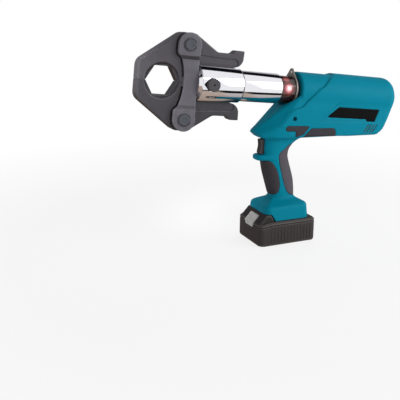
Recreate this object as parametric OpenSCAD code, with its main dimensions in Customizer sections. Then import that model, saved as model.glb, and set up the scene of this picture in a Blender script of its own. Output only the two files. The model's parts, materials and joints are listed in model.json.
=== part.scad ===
// Cordless hydraulic pipe press tool with a scissor jaw set.
// Millimetres, +Z up, nose towards -X, origin in the middle of the battery's bottom face.
// The press head lies along a barrel axis that rises towards the nose. Places along it are
// called s (towards the tail) and places across it v (upwards), both from the point above the origin.

/* [Stance] */
// Height of the barrel axis above the battery's bottom face
axis_h = 270; // [260:1:280]
// Rise of the barrel axis towards the nose, in degrees
barrel_tilt = 5; // [3:0.5:6]

/* [Jaws] */
// Thickness of each jaw
jaw_t = 25; // [23:0.5:26]
// Width across the flats of the pressing profile
hex_af = 46; // [40:1:48]
// Middle of the pressing profile ahead of the pivots
hex_ahead = 40; // [39:0.5:42]
// Front face of the jaws ahead of the pivots
jaw_reach = 79.5; // [77:0.5:84]
// Height of each jaw above its pivot
jaw_crown = 18.5; // [17:0.5:20]
// Height of the jaw's square front above the split line
jaw_front_h = 29; // [26:1:31]
// Depth of the countersink round the pressing profile
hex_sink = 2.5; // [1.5:0.5:3]
// Length of the tails behind the pivots
tail_len = 100.5; // [98:0.5:102]
// Height of the tail's outer edge above the axis
tail_top = 52; // [50:0.5:53]
// Rise of the hooked tail tip above that edge
tail_hook = 6; // [4:0.5:7]
// Gap between the closed jaws
split_gap = 0.4; // [0.3:0.1:0.6]

/* [Link plates] */
// Distance of each jaw pivot from the barrel axis
pivot_v = 60; // [58:0.5:62]
// Thickness of a link plate at its ends
plate_t = 6; // [5:0.5:7]
// Depth of the step from the plate's ends to its waist
plate_step = 1.2; // [0.8:0.1:2]
// Radius of the plate's round ends
plate_end_r = 19; // [17.5:0.5:20]
// Narrowest width of the plate's waist
waist_w = 25; // [22:0.5:26]
// Radius of the jaw pivot pins
pivot_r = 9; // [8:0.5:10]
// Width of the retaining ring round a pivot pin
ring_w = 2; // [1.5:0.25:2.5]
// Thickness of the retaining ring
ring_t = 1.4; // [1:0.1:1.8]
// Half height of the tongue that the retaining pin holds
tongue_h = 8; // [7.5:0.25:8.5]

/* [Press head] */
// Outer radius of the slotted fork
fork_r = 29.5; // [29:0.25:30.5]
// Length of the fork
fork_len = 78.5; // [78:0.25:79]
// Front face of the fork behind the jaw pivots
fork_behind = 18; // [17.5:0.25:18]
// Outer radius of the press cylinder
cyl_r = 26; // [25.5:0.25:27]
// Length of the press cylinder behind the fork
cyl_len = 77; // [75:0.5:77]
// Bevel at the cylinder's rear end
cyl_bevel = 3; // [2:0.5:4]
// Radius of the retaining pin
lock_r = 6; // [5.5:0.25:6.5]
// Retaining pin behind the fork's front face
lock_behind = 22; // [21:0.5:23]
// Radius of the retaining pin's head
lock_head_r = 10.8; // [10:0.2:11.4]
// Height of the retaining pin's head
lock_head_h = 7; // [5:0.5:9]

/* [Ram] */
// Stroke of the ram
stroke = 42; // [40:1:43]
// Radius of the piston
piston_r = 15; // [14:0.5:15.5]
// Length of the piston
piston_len = 16; // [14:1:18]
// Radius of the piston rod
rod_r = 9; // [8:0.5:10]
// Radius of each roller
roller_r = 10; // [9.5:0.25:10.25]
// Width of each roller
roller_w = 16; // [14:0.5:16.5]
// Radius of the roller pins
roller_pin_r = 4; // [3.5:0.25:4.5]
// Rollers behind the jaw pivots with the jaws closed
roller_behind = 71; // [70:0.5:72]

/* [Neck] */
// Radius of the cylinder's rear spigot
spigot_r = 19; // [18.5:0.25:19.5]
// Length of the spigot
spigot_len = 70; // [68:1:72]
// Wall of the swivel bush round the spigot
bush_wall = 1.9; // [1.6:0.1:2.2]
// Outer radius of the neck collar
collar_r = 23.3; // [22.5:0.1:24]
// Length of the neck collar
collar_len = 24.5; // [23:0.5:25]
// Thickness of the hanging plate
hang_t = 3; // [2:0.5:3.5]
// Radius of the hanging plate
hang_r = 27; // [26:0.5:28]
// Radius of the hole in the hanging plate's lug
eye_r = 2.75; // [2.5:0.25:3]
// Height of that hole above the barrel axis
eye_v = 32; // [31:0.5:33]

/* [Housing] */
// Radius of the main barrel of the housing
body_r = 35.5; // [35:0.25:36.5]
// Radius of the slimmer front barrel
front_r = 32.5; // [32:0.25:33]
// Gap between the hanging plate and the housing
neck_gap = 6.5; // [6:0.5:8]
// Length of the housing's barrel
body_len = 213; // [211:1:216]
// Thickness of the housing wall
wall = 3; // [2.5:0.1:3]
// Half width of the flat-sided lower body
belly_y = 31; // [30:0.5:32]
// Drop of the lower body's underside below the barrel axis
belly_drop = 85; // [83:0.5:87]
// Half depth of the handle, front to back
grip_a = 25.5; // [24.5:0.25:26]
// Half width of the handle
grip_b = 17.5; // [17:0.25:18.5]
// Lean of the handle, in degrees
grip_lean = 13; // [12:0.25:14]
// Thickness of the rubber grips
rubber_t = 2.5; // [2:0.1:3]
// Thickness of the label plates
label_t = 0.8; // [0.6:0.1:1.2]
// Radius of the housing screws
screw_r = 2; // [1.75:0.05:2.25]

/* [Controls] */
// Half width of the trigger
trigger_y = 7; // [6.5:0.25:8]
// Travel of the trigger
trigger_travel = 6; // [5:0.5:7]

/* [Drive] */
// Radius of the pump block
pump_r = 29; // [27:0.25:29.25]
// Length of the pump block; pump, gearbox and motor share out the housing's room in this proportion
pump_len = 56; // [54:1:57]
// Offset of the eccentric that drives the plunger
eccentric = 2; // [1.5:0.25:2.5]
// Radius of the pump plunger
plunger_r = 4; // [3.5:0.25:4.5]
// Radius of the gearbox
gear_r = 29; // [27:0.5:30]
// Length of the gearbox
gear_len = 28; // [26:1:28]
// Radius of the motor
motor_r = 28; // [26:0.5:29]
// Length of the motor
motor_len = 56.5; // [55:0.5:58]
// Room behind the motor inside the housing's rear end
tail_room = 30; // [28:0.5:32]

/* [Battery] */
// Length of the battery
batt_l = 114; // [112:1:118]
// Width of the battery
batt_w = 84; // [82:1:86]
// Height of the battery case up to its rim
batt_h = 40; // [39.5:0.5:42]
// Corner radius of the battery case
batt_round = 8; // [6:0.5:10]
// Wall of the battery case
batt_wall = 1.5; // [1.2:0.1:1.5]
// Half width of the sliding rail
rail_y = 22; // [20:0.5:23]
// Height of the sliding rail above the rim
rail_h = 12; // [11:0.5:12.5]
// Radius of a battery cell
cell_r = 9.1; // [8.9:0.05:9.15]
// Room beside the cells for the battery's side walls
cell_room = 19; // [18:0.5:21]
// Half width of the latch button
latch_y = 15; // [13:0.5:16]

/* [Clearances] */
// Running clearance of a shaft or pin in its bore
run = 0.04; // [0.02:0.01:0.08]
// Clearance between sliding or swinging faces
slip = 0.5; // [0.4:0.05:0.7]
// Clearance between parts that only pass each other
gap = 0.3; // [0.25:0.05:0.4]

/* [Hidden] */
$fn = 64;
big = 400;

// places along the barrel
pivot_s = -183;
hex_s = pivot_s - hex_ahead;
jaw_front = pivot_s - jaw_reach;
tail_end = pivot_s + tail_len;
fork_front = pivot_s + fork_behind;
fork_rear = fork_front + fork_len;
cyl_rear = fork_rear + cyl_len;
lock_s = fork_front + lock_behind;
tongue_end = lock_s + lock_r + 2;
roller_s = pivot_s + roller_behind;
carriage_front = roller_s - roller_r;
carriage_rear = roller_s + roller_r + 2;
piston_front = -2;
pocket_rear = carriage_rear + stroke + 8;
gland_len = 20;
bore_front = pocket_rear + gland_len;
spigot_end = cyl_rear + spigot_len;
collar_front = cyl_rear + slip;
hang_s = collar_front + collar_len;
body_front = hang_s + hang_t + neck_gap;
body_rear = body_front + body_len;
cap_len = 5.5;
pump_s = spigot_end + cap_len + slip;
motor_end = body_rear - tail_room;
drive_share = (motor_end - pump_s - 1) / (pump_len + gear_len + motor_len);
pump_end = pump_s + pump_len * drive_share;
gear_s = pump_end + 1;
gear_end = gear_s + gear_len * drive_share;
gear_mid = (gear_s + gear_end) / 2;
motor_s = gear_end;

// sizes across the head
slot_y = jaw_t / 2 + slip;
plate_y = jaw_t / 2 + gap;
plate_out = plate_y + plate_t;
axle_v = roller_r + 0.4;
cam_v = axle_v + roller_r + gap;
pocket_r = sqrt(pow(axle_v + roller_r, 2) + pow(roller_w / 2, 2)) + 0.8;
bush_r = spigot_r + run + bush_wall;
inner_r = body_r - wall;
belly_z = axis_h - belly_drop;
shaft_r = 6;
lobe_r = 9;

// heights of the base and the battery
rim_t = 1.6;
batt_top = batt_h + rim_t;
base_z = batt_top + gap;
rail_top = batt_top + rail_h;
floor_z = rail_top + gap;
deck_z = floor_z + 2;
base_top = deck_z + 7.5;
base_front = 17 - batt_l / 2;
base_rear = batt_l / 2 - 11;
base_y = batt_w / 2 - 4;
term_x = base_rear - 16;
cell_len = batt_w - cell_room;
cell_pitch = 2 * cell_r + gap;
cells = floor((batt_l - 15) / cell_pitch);
hump_z = deck_z + 0.5;

// handle axis, through the point under the trigger
ledge_z = belly_z - 38.5;
grip_z = base_top + 0.2 * (ledge_z - base_top);
grip_top_x = -10.15;
ledge_t = 10;
trigger_z = ledge_z + ledge_t;
trigger_h = 27.5;
trigger_back = -36;
trigger_face = -42.5;

// one corner of an outline, rounded to radius r with n steps
function unit(a) = a / norm(a);
function flat(p) = [p.x, p.y];
function corner(a, b, c, n) = b.z <= 0 ? [flat(b)] :
    let (u = unit(flat(a) - flat(b)), w = unit(flat(c) - flat(b)),
         half = acos(u * w) / 2,
         mid = flat(b) + unit(u + w) * b.z / sin(half),
         from = flat(b) + u * b.z / tan(half),
         to = flat(b) + w * b.z / tan(half),
         a0 = atan2(from.y - mid.y, from.x - mid.x),
         turn = atan2(to.y - mid.y, to.x - mid.x) - a0,
         step = (turn > 180 ? turn - 360 : turn < -180 ? turn + 360 : turn) / n)
    [for (i = [0:n]) mid + b.z * [cos(a0 + step * i), sin(a0 + step * i)]];
// an outline whose points are [x, y, corner radius]
function rounded(p, n = 6) = [for (i = [0:len(p) - 1])
    each corner(p[(i + len(p) - 1) % len(p)], p[i], p[(i + 1) % len(p)], n)];
function rect_pts(x0, x1, y0, y1, r) = rounded([[x0, y0, r], [x1, y0, r], [x1, y1, r], [x0, y1, r]]);
function oval(a, b, k = 2.5, n = 40) = [for (i = [0:n - 1]) let (t = 360 * i / n)
    [a * sign(cos(t)) * pow(abs(cos(t)), 2 / k), b * sign(sin(t)) * pow(abs(sin(t)), 2 / k)]];

// a side outline given in X and Z, with its thickness along Y
module side(w, y = 0) { translate([0, y, 0]) rotate([90, 0, 0]) linear_extrude(w, center = true) children(); }
// moves a piece drawn about the barrel axis into place
module at_barrel() { translate([0, 0, axis_h]) rotate([0, barrel_tilt, 0]) children(); }
// a solid turned about the barrel axis from [radius, s] points
module turned(p) { rotate([0, 90, 0]) rotate_extrude($fn = 96) polygon(p); }
// a rod along the barrel
module rod(r, s0, s1, y = 0, v = 0) { translate([s0, y, v]) rotate([0, 90, 0]) cylinder(r = r, h = s1 - s0); }
// a rod across the tool
module cross(r, s, v, y0, y1) { translate([s, y1, v]) rotate([90, 0, 0]) cylinder(r = r, h = y1 - y0); }
// keeps the half of a piece on the near (-1) or far (1) side of the middle plane
module half(k) {
    intersection() {
        children();
        translate([-big, k < 0 ? -big : 0, -big]) cube([2 * big, big, 2 * big]);
    }
}

// outline of the upper jaw: pressing profile, pivot boss, tail and the cam that the roller drives
module jaw_outline() {
    flat_h = hex_af / 2;
    corner_x = hex_af / sqrt(3);
    top = pivot_v + jaw_crown;
    rise = 0.745;
    s_top = jaw_front + (top - jaw_front_h) / rise;
    rear_s = pivot_s - 6;
    polygon(rounded([
        [jaw_front, split_gap / 2, 0],
        [jaw_front, jaw_front_h, 17],
        [s_top, top, 14],
        [pivot_s + 11.5, top, 22],
        [pivot_s + 53, tail_top, 14],
        [tail_end - 22, tail_top, 8],
        [tail_end - 16, tail_top + tail_hook, 4],
        [tail_end, tail_top + tail_hook, 1],
        [tail_end - 1, tail_top - 18, 16],
        [roller_s + 12, cam_v + 8, 4],
        [roller_s - 2, cam_v, 2],
        [roller_s - 8, cam_v, 2],
        [roller_s - 12, cam_v + 5, 2],
        [fork_front + 5, cam_v + 5, 6],
        [pivot_s + 7, tongue_h + 3.5, 4],
        [rear_s, tongue_h + 3.5, 2],
        [rear_s, split_gap / 2, 0],
        [hex_s + corner_x, split_gap / 2, 0],
        [hex_s + corner_x / 2, flat_h, 0],
        [hex_s - corner_x / 2, flat_h, 0],
        [hex_s - corner_x, split_gap / 2, 0]]));
}

module jaw() {
    sink_r = hex_af / sqrt(3) + hex_sink;
    difference() {
        side(jaw_t) jaw_outline();
        cross(pivot_r + run, pivot_s, pivot_v, -jaw_t, jaw_t);
        for (k = [-1, 1]) translate([hex_s, k * (jaw_t / 2 + 0.01), 0]) rotate([k * 90, 0, 0])
            cylinder(r1 = sink_r - hex_sink, r2 = sink_r, h = hex_sink + 0.01);
        for (k = [-1, 1]) side(2, k * (jaw_t / 2 + 0.4))
            polygon(rounded([[pivot_s + 24, tail_top - 5, 4], [tail_end - 12, tail_top - 5, 6],
                [tail_end - 12, cam_v + 13, 6], [pivot_s + 24, cam_v + 9, 4]]));
    }
}
module upper_jaw() { color("#4e4c50") at_barrel() jaw(); }
module lower_jaw() { color("#4e4c50") at_barrel() mirror([0, 0, 1]) jaw(); }

// dog-bone plate that ties the two pivots together, thinner at its waist
module plate_outline() {
    waist_s = fork_front - waist_w;
    step_v = pivot_v - plate_end_r - 3;
    dip = waist_s - pivot_s + plate_end_r;
    waist_r = (step_v * step_v + dip * dip) / (2 * dip);
    for (k = [-1, 1]) translate([pivot_s, k * pivot_v]) circle(r = plate_end_r);
    difference() {
        translate([pivot_s - plate_end_r, -pivot_v]) square([plate_end_r + fork_behind, 2 * pivot_v]);
        translate([waist_s - waist_r, 0]) circle(r = waist_r);
        translate([pivot_s - plate_end_r - 1, -step_v]) square([1, 2 * step_v]);
    }
}
module link_plate(k) {
    step_v = pivot_v - plate_end_r - 3;
    difference() {
        side(plate_t, k * (plate_y + plate_t / 2)) plate_outline();
        side(2 * plate_step, k * plate_out) translate([pivot_s - big / 2, -step_v]) square([big, 2 * step_v]);
        for (v = [-pivot_v, pivot_v]) cross(pivot_r, pivot_s, v, -big / 2, big / 2);
    }
}
module link_plate_near() { color("#5c5a60") at_barrel() link_plate(-1); }
module link_plate_far() { color("#5c5a60") at_barrel() link_plate(1); }

// tongue between the plates, held in the fork by the retaining pin
module link_tongue() {
    color("#5c5a60") at_barrel() difference() {
        union() {
            side(2 * plate_y) polygon(rect_pts(pivot_s - 3, fork_front - gap, -tongue_h, tongue_h, 1));
            side(jaw_t) polygon(rect_pts(pivot_s - 3, tongue_end, -tongue_h, tongue_h, 2));
        }
        cross(lock_r + run, lock_s, 0, -big / 2, big / 2);
    }
}
module pivot_pins() {
    color("#66646a") at_barrel() for (v = [-pivot_v, pivot_v])
        cross(pivot_r, pivot_s, v, -plate_out - ring_t - 0.4, plate_out + ring_t + 0.4);
}
module pin_rings() {
    color("#3c3a3e") at_barrel() for (v = [-pivot_v, pivot_v], k = [-1, 1])
        translate([pivot_s, k * (plate_out + ring_t / 2), v]) rotate([90, 0, 0]) difference() {
            cylinder(r = pivot_r + ring_w, h = ring_t, center = true);
            cylinder(r = pivot_r, h = 2 * ring_t, center = true);
            translate([pivot_r / 2, -1.5, -ring_t]) cube([pivot_r, 3, 2 * ring_t]);
        }
}

// fork and press cylinder, turned from one bar and slotted for the jaw tails
module press_head() {
    seat_y = fork_r - 1.5;
    color("#e8e8ec") at_barrel() difference() {
        turned([[0, fork_front], [fork_r - 1, fork_front], [fork_r, fork_front + 1],
            [fork_r, fork_rear - 0.6], [fork_r - 0.6, fork_rear], [cyl_r, fork_rear],
            [cyl_r, cyl_rear - cyl_bevel], [cyl_r - cyl_bevel, cyl_rear], [spigot_r, cyl_rear],
            [spigot_r, spigot_end], [0, spigot_end]]);
        translate([fork_front - 1, -slot_y, -fork_r - 1]) cube([fork_len + 1, 2 * slot_y, 2 * fork_r + 2]);
        rod(pocket_r, fork_rear - 1, pocket_rear);
        rod(rod_r + 4, pocket_rear - 1, bore_front + 1);
        rod(piston_r + run, bore_front, spigot_end + 1);
        cross(lock_r + run, lock_s, 0, -big / 2, big / 2);
        cross(lock_head_r + 0.6, lock_s, 0, -big / 2, -seat_y);
    }
}
module retaining_pin() {
    seat_y = fork_r - 1.5;
    color("#3f3d41") at_barrel() difference() {
        union() {
            cross(lock_r, lock_s, 0, -seat_y - 1, fork_r - 2);
            translate([lock_s, -seat_y - gap, 0]) rotate([90, 0, 0])
                cylinder(r = lock_head_r, h = lock_head_h - 2);
            translate([lock_s, -seat_y - gap - lock_head_h + 2, 0]) rotate([90, 0, 0])
                cylinder(r1 = lock_head_r, r2 = lock_head_r - 3, h = 2);
        }
        cross(2, lock_s, 0, -seat_y - gap - lock_head_h - 1, -seat_y - gap - lock_head_h + 4);
    }
}
module rod_bush() {
    color("#b08d4c") at_barrel() difference() {
        rod(rod_r + 4, pocket_rear, bore_front);
        rod(rod_r + run, pocket_rear - 1, bore_front + 1);
    }
}

// ram: rod and piston, drawn with the stroke run out
module ram() {
    color("#c9cbd0") at_barrel() difference() {
        union() {
            rod(rod_r, carriage_rear, piston_front + 1);
            rod(piston_r, piston_front, piston_front + piston_len);
        }
        for (s = [5, piston_len - 7]) translate([piston_front + s, 0, 0]) rotate([0, 90, 0]) difference() {
            cylinder(r = piston_r + 1, h = 2);
            cylinder(r = piston_r - 1.5, h = 2);
        }
    }
}
module roller_carriage() {
    half_y = slot_y - 0.7;
    cheek_in = roller_w / 2 + gap;
    color("#55555c") at_barrel() difference() {
        side(2 * half_y) polygon(rect_pts(carriage_front, carriage_rear, -axle_v - 6.5, axle_v + 6.5, 3));
        translate([carriage_front - 1, -cheek_in, -big / 2]) cube([2 * roller_r + 1.5, 2 * cheek_in, big]);
        for (v = [-axle_v, axle_v]) cross(roller_pin_r, roller_s, v, -big / 2, big / 2);
    }
}
module roller(v) {
    at_barrel() difference() {
        cross(roller_r, roller_s, v, -roller_w / 2, roller_w / 2);
        cross(roller_pin_r + run, roller_s, v, -roller_w, roller_w);
    }
}
module upper_roller() { color("#8c8e94") roller(axle_v); }
module lower_roller() { color("#8c8e94") roller(-axle_v); }
module roller_pins() {
    half_y = slot_y - 0.7;
    color("#77787e") at_barrel() for (v = [-axle_v, axle_v]) cross(roller_pin_r, roller_s, v, -half_y, half_y);
}
// return spring, squeezed short while the ram is out
module return_spring() {
    color("#70727a") at_barrel() difference() {
        rod(piston_r - 0.6, bore_front, piston_front - gap);
        rod(rod_r + 0.6, bore_front - 1, piston_front + 1);
    }
}
module cylinder_cap() {
    color("#9a9ca2") at_barrel() difference() {
        rod(bush_r - 0.4, spigot_end, spigot_end + cap_len);
        rod(2.5, spigot_end - 1, spigot_end + cap_len + 1);
    }
}

// neck: bush for the swivel, collar and the plate with the hanging eye
module swivel_bush() {
    color("#b08d4c") at_barrel() difference() {
        rod(bush_r, collar_front, spigot_end - slip);
        rod(spigot_r + run, collar_front - 1, spigot_end);
    }
}
module neck_collar() {
    color("#5a1418") at_barrel()
        turned([[bush_r, collar_front], [collar_r - 2, collar_front], [collar_r, collar_front + 4],
            [collar_r, hang_s - 2], [collar_r + 1, hang_s], [bush_r, hang_s]]);
}
module hang_plate() {
    color("#8f8a84") at_barrel() difference() {
        union() {
            rod(hang_r, hang_s, hang_s + hang_t);
            rod(eye_r + 2.6, hang_s, hang_s + hang_t, 0, eye_v);
            translate([hang_s, 0, 0]) rotate([90, 0, 90]) linear_extrude(hang_t)
                polygon([[-11, hang_r - 4], [11, hang_r - 4], [eye_r + 2.4, eye_v + 1],
                    [-eye_r - 2.4, eye_v + 1]]);
        }
        rod(bush_r, hang_s - 1, hang_s + hang_t + 1);
        rod(eye_r, hang_s - 1, hang_s + hang_t + 1, 0, eye_v);
    }
}

// housing: outer form
module barrel_skin() {
    difference() {
        turned([[0, body_front + 5], [body_r, body_front + 5], [body_r, body_rear - 26],
            [body_r - 2.4, body_rear - 15], [body_r - 9, body_rear - 6], [body_r - 19, body_rear - 1.2],
            [0, body_rear]]);
        side(big) polygon([[0, 60], [body_front + 73, 60], [body_front + 72, 33], [body_front + 61, 27],
            [body_front + 38, 7], [body_front + 17, -12], [body_front + 5, -26], [0, -28]]);
    }
    turned([[0, body_front], [front_r - 2, body_front], [front_r, body_front + 3], [front_r, body_front + 90],
        [0, body_front + 90]]);
}
module belly(inset = 0) {
    k = inset;
    intersection() {
        side(2 * belly_y - 2 * k) polygon(rounded([[-58 + 4 * k, axis_h - 71 + k, 5],
            [-43 + k, belly_z + 2 + k, 4], [47, belly_z + k, 0], [body_rear - 35 - k, belly_z + k, 26],
            [body_rear - 1.5 - 2 * k, axis_h - 20, 6], [body_rear - 14, axis_h - 8, 0], [28, axis_h - 2, 0],
            [24 + k, axis_h - 8, 2], [5 + 2 * k, axis_h - 22, 0]]));
        linear_extrude(axis_h + 40) polygon(rounded([[-59, -15, 9], [-59, 15, 9], [-15, belly_y, 20],
            [body_rear + 3, belly_y, 26], [body_rear + 3, -belly_y, 26], [-15, -belly_y, 20]]));
    }
}
// a leaning oval column along the handle's axis
module grip_core(inset, z0, z1) {
    multmatrix([[1, 0, -tan(grip_lean), grip_top_x + ledge_z * tan(grip_lean)], [0, 1, 0, 0], [0, 0, 1, 0]])
        translate([0, 0, z0]) linear_extrude(z1 - z0) polygon(oval(grip_a - inset, grip_b - inset));
}
// cheeks beside the trigger, from just above the ledge's lower side
cheek_z = ledge_z + 1;
waist = [[0, 15], [0.28, 15], [0.46, 17], [0.62, 21.5], [0.76, 28], [0.88, 37], [1, 52]];
module handle_top(inset = 0) {
    rise = belly_z - cheek_z;
    function level(i) = let (w = waist[i]) [cheek_z + w.x * rise, trigger_back, w.y];
    module slice(q) {
        translate([(q.y + q.z) / 2, 0, q.x]) linear_extrude(0.5)
            polygon(oval((q.z - q.y) / 2 - inset, grip_b - inset));
    }
    for (i = [0:len(waist) - 2]) hull() {
        slice(level(i));
        slice(level(i + 1));
    }
    translate([(trigger_back + 52) / 2, 0, belly_z]) linear_extrude(13)
        polygon(oval((52 - trigger_back) / 2 - inset, grip_b - inset));
}
module ledge() {
    translate([0, 0, ledge_z]) linear_extrude(ledge_t)
        polygon(rounded([[-49.5, -12, 8], [-49.5, 12, 8], [-30, grip_b - 1, 6], [0, grip_b - 1, 0],
            [0, -grip_b + 1, 0], [-30, -grip_b + 1, 6]]));
}
shoulder_z = base_top + 0.5 * (grip_z - base_top);
module base_layer(z, inset, r) {
    translate([0, 0, z]) linear_extrude(1)
        polygon(rect_pts(base_front + inset, base_rear - inset, -base_y + inset, base_y - inset, r));
}
module base() {
    difference() {
        union() {
            translate([0, 0, base_z]) linear_extrude(base_top - base_z)
                polygon(rect_pts(base_front, base_rear, -base_y, base_y, 14));
            hull() {
                base_layer(base_top - 1, 0, 14);
                base_layer(shoulder_z - 3, 2.5, 13);
                base_layer(shoulder_z, 7, 10);
            }
            hull() {
                base_layer(shoulder_z - 1, 7, 10);
                grip_core(0, grip_z + 1, grip_z + 2);
            }
        }
        side(big) polygon([[-80, hump_z + gap], [base_front + 9.5, hump_z + gap],
            [base_front + 18.5, base_z - 1], [-80, base_z - 1]]);
        translate([-80, -rail_y - gap, base_z - 1])
            cube([80 + base_rear - 5, 2 * rail_y + 2 * gap, floor_z - base_z + 1]);
    }
}
module housing_outer() {
    at_barrel() barrel_skin();
    belly();
    handle_top();
    grip_core(0, base_top, trigger_z);
    ledge();
    base();
}
module housing_cavity() {
    at_barrel() {
        rod(hang_r + 1, -40, body_front - 0.25);
        rod(bush_r + run, body_front - 2, pump_s);
        rod(pump_r + run, pump_s - slip, pump_end + 1);
        rod(inner_r, pump_end, body_rear - 25);
    }
    intersection() {
        belly(wall);
        translate([54, -big, belly_z]) cube([body_rear - 98, 2 * big, belly_drop - 29]);
    }
    translate([-33, -trigger_y - gap, trigger_z + 1]) cube([38, 2 * trigger_y + 2 * gap, trigger_h - 1]);
    translate([trigger_back - 20, -trigger_y - gap, trigger_z])
        cube([25 + trigger_travel, 2 * trigger_y + 2 * gap, trigger_h + 1]);
    grip_core(rubber_t + 4, base_top + 2, trigger_z + 1.5);
    translate([base_front + 12, -base_y + 8, deck_z]) cube([base_rear - base_front - 24, 2 * base_y - 16, 6]);
}
// where the screws and the bosses round them sit
screw_spots = [[11.2, belly_z + 36], [112, belly_z + 34], [164, belly_z + 32]];
module screw_bosses() {
    for (p = [for (i = [1:2]) screw_spots[i]]) cross(screw_r + 3, p.x, p.y, -belly_y + 1, belly_y - 1);
}
module screw_holes() {
    for (p = screw_spots) {
        cross(screw_r, p.x, p.y, -belly_y - 1, belly_y - 8);
        cross(2 * screw_r, p.x, p.y, -big / 2, -belly_y + 3);
    }
}
module housing() {
    difference() {
        housing_outer();
        difference() {
            housing_cavity();
            screw_bosses();
        }
        screw_holes();
        grip_zone_front(1);
        grip_zone_back(1);
        pad_seats(front_pad_pts());
        pad_seats(rear_pad_pts());
        label_zone();
        vents();
    }
}
module housing_left() { color("#00809c") half(-1) housing(); }
module housing_right() { color("#00809c") half(1) housing(); }

// slanted air slots low at the rear
module vents() {
    at_barrel() for (i = [0:3], k = [-1, 1]) side(2 * wall + 3, k * belly_y)
        polygon([for (q = [[0, -67], [2.4, -67], [12.4, -51], [10, -51]]) [body_rear - 71 + 5 * i + q.x, q.y]]);
}
// rubber pads let into both sides of the lower body
function above_belly(p) = rounded([for (q = p) [q.x, belly_z + q.y, q.z]]);
function front_pad_pts() = above_belly([[-5, 14.5, 4], [-5, 24, 5], [43, 21.5, 2], [31, 8, 4], [22, 4.5, 3],
    [15, 3.5, 1], [15, 14, 2]]);
function rear_pad_pts() = above_belly([[31, 3, 1], [46, 17, 4], [98, 15.5, 8], [98, 3, 1]]);
module pad_seats(pts) {
    for (k = [-1, 1]) side(rubber_t + 1, k * (belly_y - rubber_t / 2 + 0.5)) polygon(pts);
}
module pads(pts) {
    intersection() {
        pad_seats(pts);
        belly();
    }
}
module front_pads() { color("#403c3e") pads(front_pad_pts()); }
module rear_pads() { color("#403c3e") pads(rear_pad_pts()); }
// bare label plates in shallow seats
function label_pts() = rounded([for (q = [[82, -23], [170, -23.5], [162.5, -45], [135, -45], [132, -41],
    [59, -41]]) [body_front + q.x, q.y, 1]], 3);
module label_zone() { at_barrel() for (k = [-1, 1]) side(2 * label_t, k * belly_y) polygon(label_pts()); }
module label_plates() {
    color("#101012") at_barrel() for (k = [-1, 1])
        side(label_t, k * (belly_y - label_t / 2)) polygon(label_pts());
}
module housing_screws() {
    color("#2a2c30") for (p = screw_spots) {
        cross(screw_r, p.x, p.y, -belly_y + 3, belly_y - 8);
        difference() {
            cross(2 * screw_r, p.x, p.y, -belly_y + 1, -belly_y + 3);
            translate([p.x - 0.4, -belly_y, p.y - 3]) cube([0.8, 2, 6]);
        }
    }
}

// rubber grips let into the front and back of the handle; a seat stands proud so that it cuts clear
grip_low = grip_z + 0.047 * (ledge_z - base_top);
grip_h = ledge_z - 0.5 - grip_low;
function on_grip(p) = rounded([for (q = p) [grip_top_x - (q.y - 1) * grip_h * tan(grip_lean) + q.x,
    grip_low + q.y * grip_h, min(q.z, grip_h / 5)]]);
function front_grip_pts() = on_grip([[-60, 1, 0], [-15, 1, 6], [-4, 0.7, 13], [-7, 0, 8], [-70, 0, 0]]);
function back_grip_pts() = on_grip([[50, 0, 0], [11, 0, 10], [1, 0.3, 13], [1, 1.02, 13],
    [23.5, 1 + 29.5 / grip_h, 2], [70, 1 + 29.5 / grip_h, 0]]);
module grip_zone_front(proud = 0) {
    difference() {
        intersection() {
            grip_core(-proud, grip_low, ledge_z);
            side(big) polygon(front_grip_pts());
        }
        grip_core(rubber_t, grip_z, trigger_z);
    }
}
module grip_zone_back(proud = 0) {
    difference() {
        intersection() {
            union() {
                grip_core(-proud, grip_low, cheek_z + 0.5);
                handle_top(-proud);
            }
            side(big) polygon(back_grip_pts());
        }
        grip_core(rubber_t, grip_z, cheek_z + 1);
        handle_top(rubber_t);
    }
}
module front_grip() { color("#2e2c2e") grip_zone_front(); }
module back_grip() { color("#4a4648") grip_zone_back(); }

// trigger and its switch
module trigger() {
    color("#343234") {
        side(2 * trigger_y) polygon(rounded([[trigger_face + 1, trigger_z + gap, 2],
            [trigger_back + 3, trigger_z + gap, 0], [trigger_back + 3, trigger_z + trigger_h - gap, 0],
            [trigger_face - 0.5, trigger_z + trigger_h - gap, 2], [trigger_face + 3.5, trigger_z + 13, 20]]));
        translate([trigger_back, -4, trigger_z + 9]) cube([10, 8, 8]);
    }
}
module switch_block() {
    color("#202124") difference() {
        translate([trigger_back + 3 + trigger_travel + gap, -trigger_y, trigger_z + 1.5])
            cube([20, 2 * trigger_y, trigger_h - 3.5]);
        translate([trigger_back, -4 - gap, trigger_z + 9 - gap])
            cube([10 + trigger_travel + gap, 8 + 2 * gap, 8 + 2 * gap]);
    }
}

// drive: pump, eccentric, gearbox and motor in line behind the cylinder
module pump_block() {
    well_s = pump_end - 24;
    color("#8a8d94") at_barrel() difference() {
        rod(pump_r, pump_s, pump_end);
        rod(lobe_r + eccentric + 1.5, well_s, pump_end + 1);
        rod(2.5, pump_s - 1, pump_s + 14);
        translate([well_s + 8, 0, -pump_r - 1]) cylinder(r = plunger_r + run, h = pump_r);
    }
}
module pump_plunger() {
    well_s = pump_end - 24;
    top_v = -lobe_r - eccentric - gap;
    color("#c9cbd0") at_barrel() translate([well_s + 8, 0, top_v - 13]) cylinder(r = plunger_r, h = 13);
}
module eccentric_shaft() {
    well_s = pump_end - 24;
    color("#77787e") at_barrel() {
        rod(shaft_r, well_s + 2, gear_mid - 2);
        rod(lobe_r, well_s + 3, well_s + 13, 0, -eccentric);
    }
}
module gearbox() {
    color("#6d7076") at_barrel() difference() {
        rod(gear_r, gear_s, gear_end);
        rod(shaft_r + run, gear_s - 1, gear_mid - 1.5);
        rod(shaft_r - 2 + run, gear_mid + 2, gear_end + 1);
    }
}
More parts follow.
